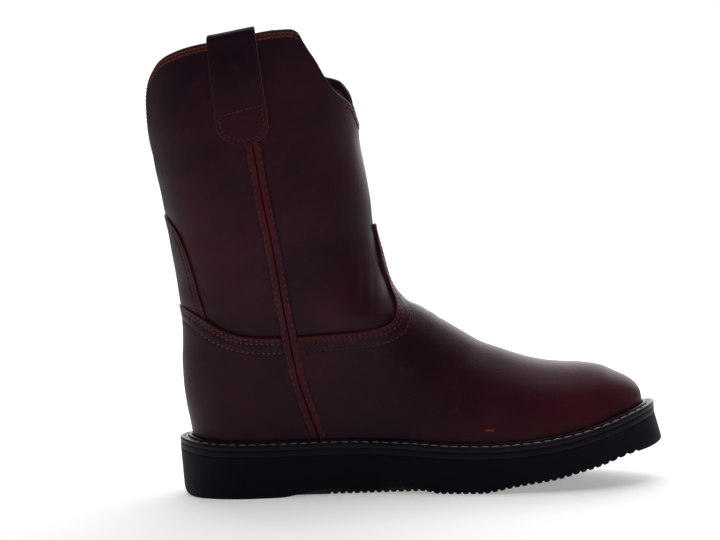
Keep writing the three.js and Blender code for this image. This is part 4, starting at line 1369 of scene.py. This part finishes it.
def sew(bm, points, outs, pitch, length, thick, tilt=0.0):
    """Stitches along a line of points, which lie on the leather with the given outward directions"""
    way = way_along(points)
    count = max(2, int(round(way[-1] / pitch)))
    starts = (np.arange(count) + 0.5) * way[-1] / count
    row_bm = bmesh.new()
    for at in starts:
        middle = walk(points, way, at)
        ahead = walk(points, way, min(at + 0.5 * MM, way[-1]))
        behind = walk(points, way, max(at - 0.5 * MM, 0))
        out = unit(walk(outs, way, at))
        along = unit(ahead - behind)
        aside = unit(np.cross(out, along))
        out = np.cross(along, aside)
        lean = tilt + random.normal(0, 0.05)
        cosine, sine = math.cos(lean), math.sin(lean)
        along, aside = along * cosine + aside * sine, aside * cosine - along * sine
        size = length / 2 * (1 + random.normal(0, 0.04))
        axes = (aside * thick, out * thick * 0.8, along * size, middle)
        matrix = Matrix([*zip(*axes), (0, 0, 0, 1)])
        bmesh.ops.create_uvsphere(row_bm, u_segments=6, v_segments=5, radius=1, matrix=matrix)
    row_mesh = bpy.data.meshes.new("row")
    row_bm.to_mesh(row_mesh)
    row_bm.free()
    bm.from_mesh(row_mesh)
    bpy.data.meshes.remove(row_mesh)


def cut_lines(edges):
    """The edges of a cut as runs of places in order"""
    near = {}
    for edge in edges:
        a, b = edge.verts
        near.setdefault(a.index, []).append(b.index)
        near.setdefault(b.index, []).append(a.index)
    places = {v.index: (v.co.y, v.co.x) for edge in edges for v in edge.verts}
    runs = []
    starts = sorted(near, key=lambda index: len(near[index]))
    seen = set()
    for start in starts:
        if start in seen:
            continue
        run = [start]
        seen.add(start)
        while True:
            ahead = [index for index in near[run[-1]] if index not in seen]
            if not ahead:
                break
            run.append(ahead[0])
            seen.add(ahead[0])
        if len(run) > 4:
            runs.append(np.array([places[index] for index in run]))
    return runs


def sew_layer(layer, stitch, colour):
    """Rows of stitches on a layer of leather, at their distances from its edge"""
    sheet, keeps, thickness, dips = LAYERS[layer]
    bm = flat_sheet(*sheet)
    thread_bm = bmesh.new()
    for field in keeps[1:]:
        slice_sheet(bm, field, 0.9 * MM, True)
    slice_sheet(bm, keeps[0], 0.0, True)
    for field, dip in dips:
        edges = slice_sheet(bm, field, dip, False)
        bm.verts.index_update()
        for run in cut_lines(edges):
            rows, columns = run[:, 0], run[:, 1]
            points = on_last(rows, columns, np.full(len(run), GAP + thickness - NEEDLE_DIP + 0.12 * MM))
            sew(thread_bm, points, unit(sample(last_normal, rows, columns)), *stitch)
    bm.free()
    finish_piece(layer + "_stitches", thread_bm, [colour])


sew_layer("vamp", VAMP_STITCH, red_thread)
sew_layer("counter", COUNTER_STITCH, ochre_thread)
sew_layer("stay", STAY_STITCH, red_thread)

# %% Threads of the seams, the collar and the straps
red = bmesh.new()
for side in (-1, 1):
    z = np.linspace(float(welt_top(-0.06)) + 2.5 * MM, SEAM_TOP - 1.5 * MM, 120)
    for u in (-SEAM_ROW, SEAM_ROW):
        lift = GAP + seam_profile(np.full(len(z), u), z) + 0.08 * MM
        points, outs = side_point(seam_x(z) + u, z, side, lift)
        sew(red, points, outs, *SEAM_STITCH)

rust = bmesh.new()
braided = np.flatnonzero(plain_front < 0.5)
BRAID_RUNS = [braided[braided < HALF], braided[braided >= HALF]]
for below, tilt in ((2.3 * MM, 0.2), (4.4 * MM, -0.2)):
    for half in BRAID_RUNS:
        for columns in np.split(half, np.flatnonzero(np.diff(half) > 1) + 1):
            rows = [np.interp(-below, -way_below[:, column], np.arange(ROWS)) for column in columns]
            points = on_last(np.array(rows), columns, np.full(len(columns), 0.2 * MM))
            outs = unit(sample(last_normal, np.array(rows), columns))
            sew(rust, points, outs, *COLLAR_STITCH, tilt)


def strap_stitch_line():
    """The box of stitches on a strap, as places across and heights"""
    inset = 2.6 * MM
    top_row = [(a, mix(BOX_TOP_LEFT, BOX_TOP_RIGHT, (a + 1) / 2)) for a in np.linspace(-0.84, 0.84, 20)]
    rises = STRAP_TIP * (1 - np.cos(np.linspace(0.12, np.pi / 2, 16)))
    right = [(float(strap_width(r)) - inset / STRAP_HALF, STRAP_LOW + inset + r * 0.9) for r in rises]
    left = [(-a, z) for a, z in right]
    lower = [*left[::-1], *right]
    lower = [(a, z) for a, z in lower if abs(a) < 0.86]
    right_side = [(0.84, z) for z in np.linspace(lower[-1][1] + 1.5 * MM, BOX_TOP_RIGHT - 2 * MM, 8)]
    left_side = [(-0.84, z) for z in np.linspace(BOX_TOP_LEFT - 2 * MM, lower[0][1] + 1.5 * MM, 8)]
    return top_row, [*left_side, *lower, *right_side]


for side in (-1, 1):
    for line in strap_stitch_line():
        place = np.array(line)
        lift = np.full(len(line), GAP + STRAP + 0.1 * MM)
        points, outs = side_point(strap_x(place[:, 0], place[:, 1]), place[:, 1], side, lift)
        sew(red, points, outs, *STRAP_STITCH)
finish_piece("collar_stitches", rust, [rust_thread])
finish_piece("seam_stitches", red, [red_thread])

# %% The welt's thread
cream = bmesh.new()
stitch_loop = welt_place(7.5 * MM, 0.02 * MM)
stitch_loop = np.concatenate([stitch_loop, stitch_loop[:1]])
outs = np.tile([0.0, 0.0, 1.0], (len(stitch_loop), 1))
sew(cream, stitch_loop, outs, *WELT_STITCH)
finish_piece("cream_stitches", cream, [cream_thread])

# %% [markdown]
# The studio: a plain pale floor, a white surround and large soft lights. Most light comes from behind and
# above, so the near side stays deep and the front, the back and the toe catch long soft highlights. The camera
# stands low and a few degrees towards the toe, and is rolled a little, because the boot stands level here.

# %% Floor and lights
floor_bm = bmesh.new()
bmesh.ops.create_grid(floor_bm, x_segments=1, y_segments=1, size=1.7)
bmesh.ops.translate(floor_bm, vec=(0, -0.5, 0), verts=floor_bm.verts[:])
floor_mesh = bpy.data.meshes.new("studio_floor")
floor_bm.to_mesh(floor_mesh)
floor_bm.free()
floor = place_object("studio_floor", floor_mesh)
floor_material, _, floor_shader, _ = start_material("pale_floor", 0.9)
floor_shader.inputs["Base Color"].default_value = (0.8, 0.8, 0.8, 1)
floor_shader.inputs["Specular IOR Level"].default_value = 0.1
floor_shader.inputs["Emission Color"].default_value = (1, 1, 1, 1)
floor_shader.inputs["Emission Strength"].default_value = 0.34
floor_mesh.materials.append(floor_material)


# Lights. Columns: name, place, aim, width and height, watts
LIGHTS = [
    ("behind", (0.1, 1.5, 0.9), (0, 0, 0.12), (2.6, 1.5), 42),
    ("toe_side", (1.35, 0.35, 0.6), (0.05, 0, 0.1), (0.9, 1.4), 1.5),
    ("heel_side", (-1.35, 0.25, 0.6), (-0.05, 0, 0.15), (0.9, 1.4), 1),
    ("above", (0.1, 0.2, 1.5), (0, 0, 0), (1.6, 1.3), 14),
    ("front_fill", (0.3, -1.9, 0.8), (0, 0, 0.12), (1.5, 1.2), 1.0),
]
for name, place, aim, size, power in LIGHTS:
    data = bpy.data.lights.new(name, "AREA")
    data.shape = "RECTANGLE"
    data.size, data.size_y = size
    data.energy = power
    light = place_object(name, data)
    light.location = place
    light.rotation_euler = (Vector(aim) - Vector(place)).to_track_quat("-Z", "Y").to_euler()
    light.visible_camera = False

world = bpy.data.worlds.new("white_surround")
bpy.context.scene.world = world
world.use_nodes = True
surround = world.node_tree
surround.nodes.clear()
seen_by_camera = add_node(surround, "LightPath").outputs["Is Camera Ray"]
ambient = add_node(surround, "Background", Color=(1, 1, 1, 1), Strength=0.06)
backdrop = add_node(surround, "Background", Color=(1, 1, 1, 1), Strength=1.1)
chosen = add_node(surround, "MixShader")
for socket, value in zip(chosen.inputs, (seen_by_camera, ambient.outputs[0], backdrop.outputs[0])):
    feed(surround, socket, value)
surround.links.new(chosen.outputs[0], add_node(surround, "OutputWorld").inputs[0])
bpy.context.scene.view_settings.view_transform = "Standard"
print("lights:", len(bpy.data.lights))

# %% The camera
AZIMUTH = math.radians(5)
ELEVATION = math.radians(4.1)
ROLL = math.radians(-2.6)
DISTANCE = 1.6
LENS = 123.05
TARGET = Vector((-28.43 * MM, -1.5 * MM, 141.65 * MM))
back = Vector((math.sin(AZIMUTH) * math.cos(ELEVATION), -math.cos(AZIMUTH) * math.cos(ELEVATION),
               math.sin(ELEVATION)))
right = (-back).cross(Vector((0, 0, 1))).normalized()
up = right.cross(-back)
rolled_right = right * math.cos(ROLL) + up * math.sin(ROLL)
rolled_up = up * math.cos(ROLL) - right * math.sin(ROLL)
camera_data = bpy.data.cameras.new("photo_camera")
camera_data.lens = LENS
camera_data.sensor_width = 36
camera = place_object("photo_camera", camera_data)
turn = Matrix((rolled_right, rolled_up, back)).transposed().to_4x4()
camera.matrix_world = Matrix.Translation(TARGET + back * DISTANCE) @ turn
bpy.context.scene.camera = camera
print("camera:", LENS, "mm lens at", DISTANCE, "m")
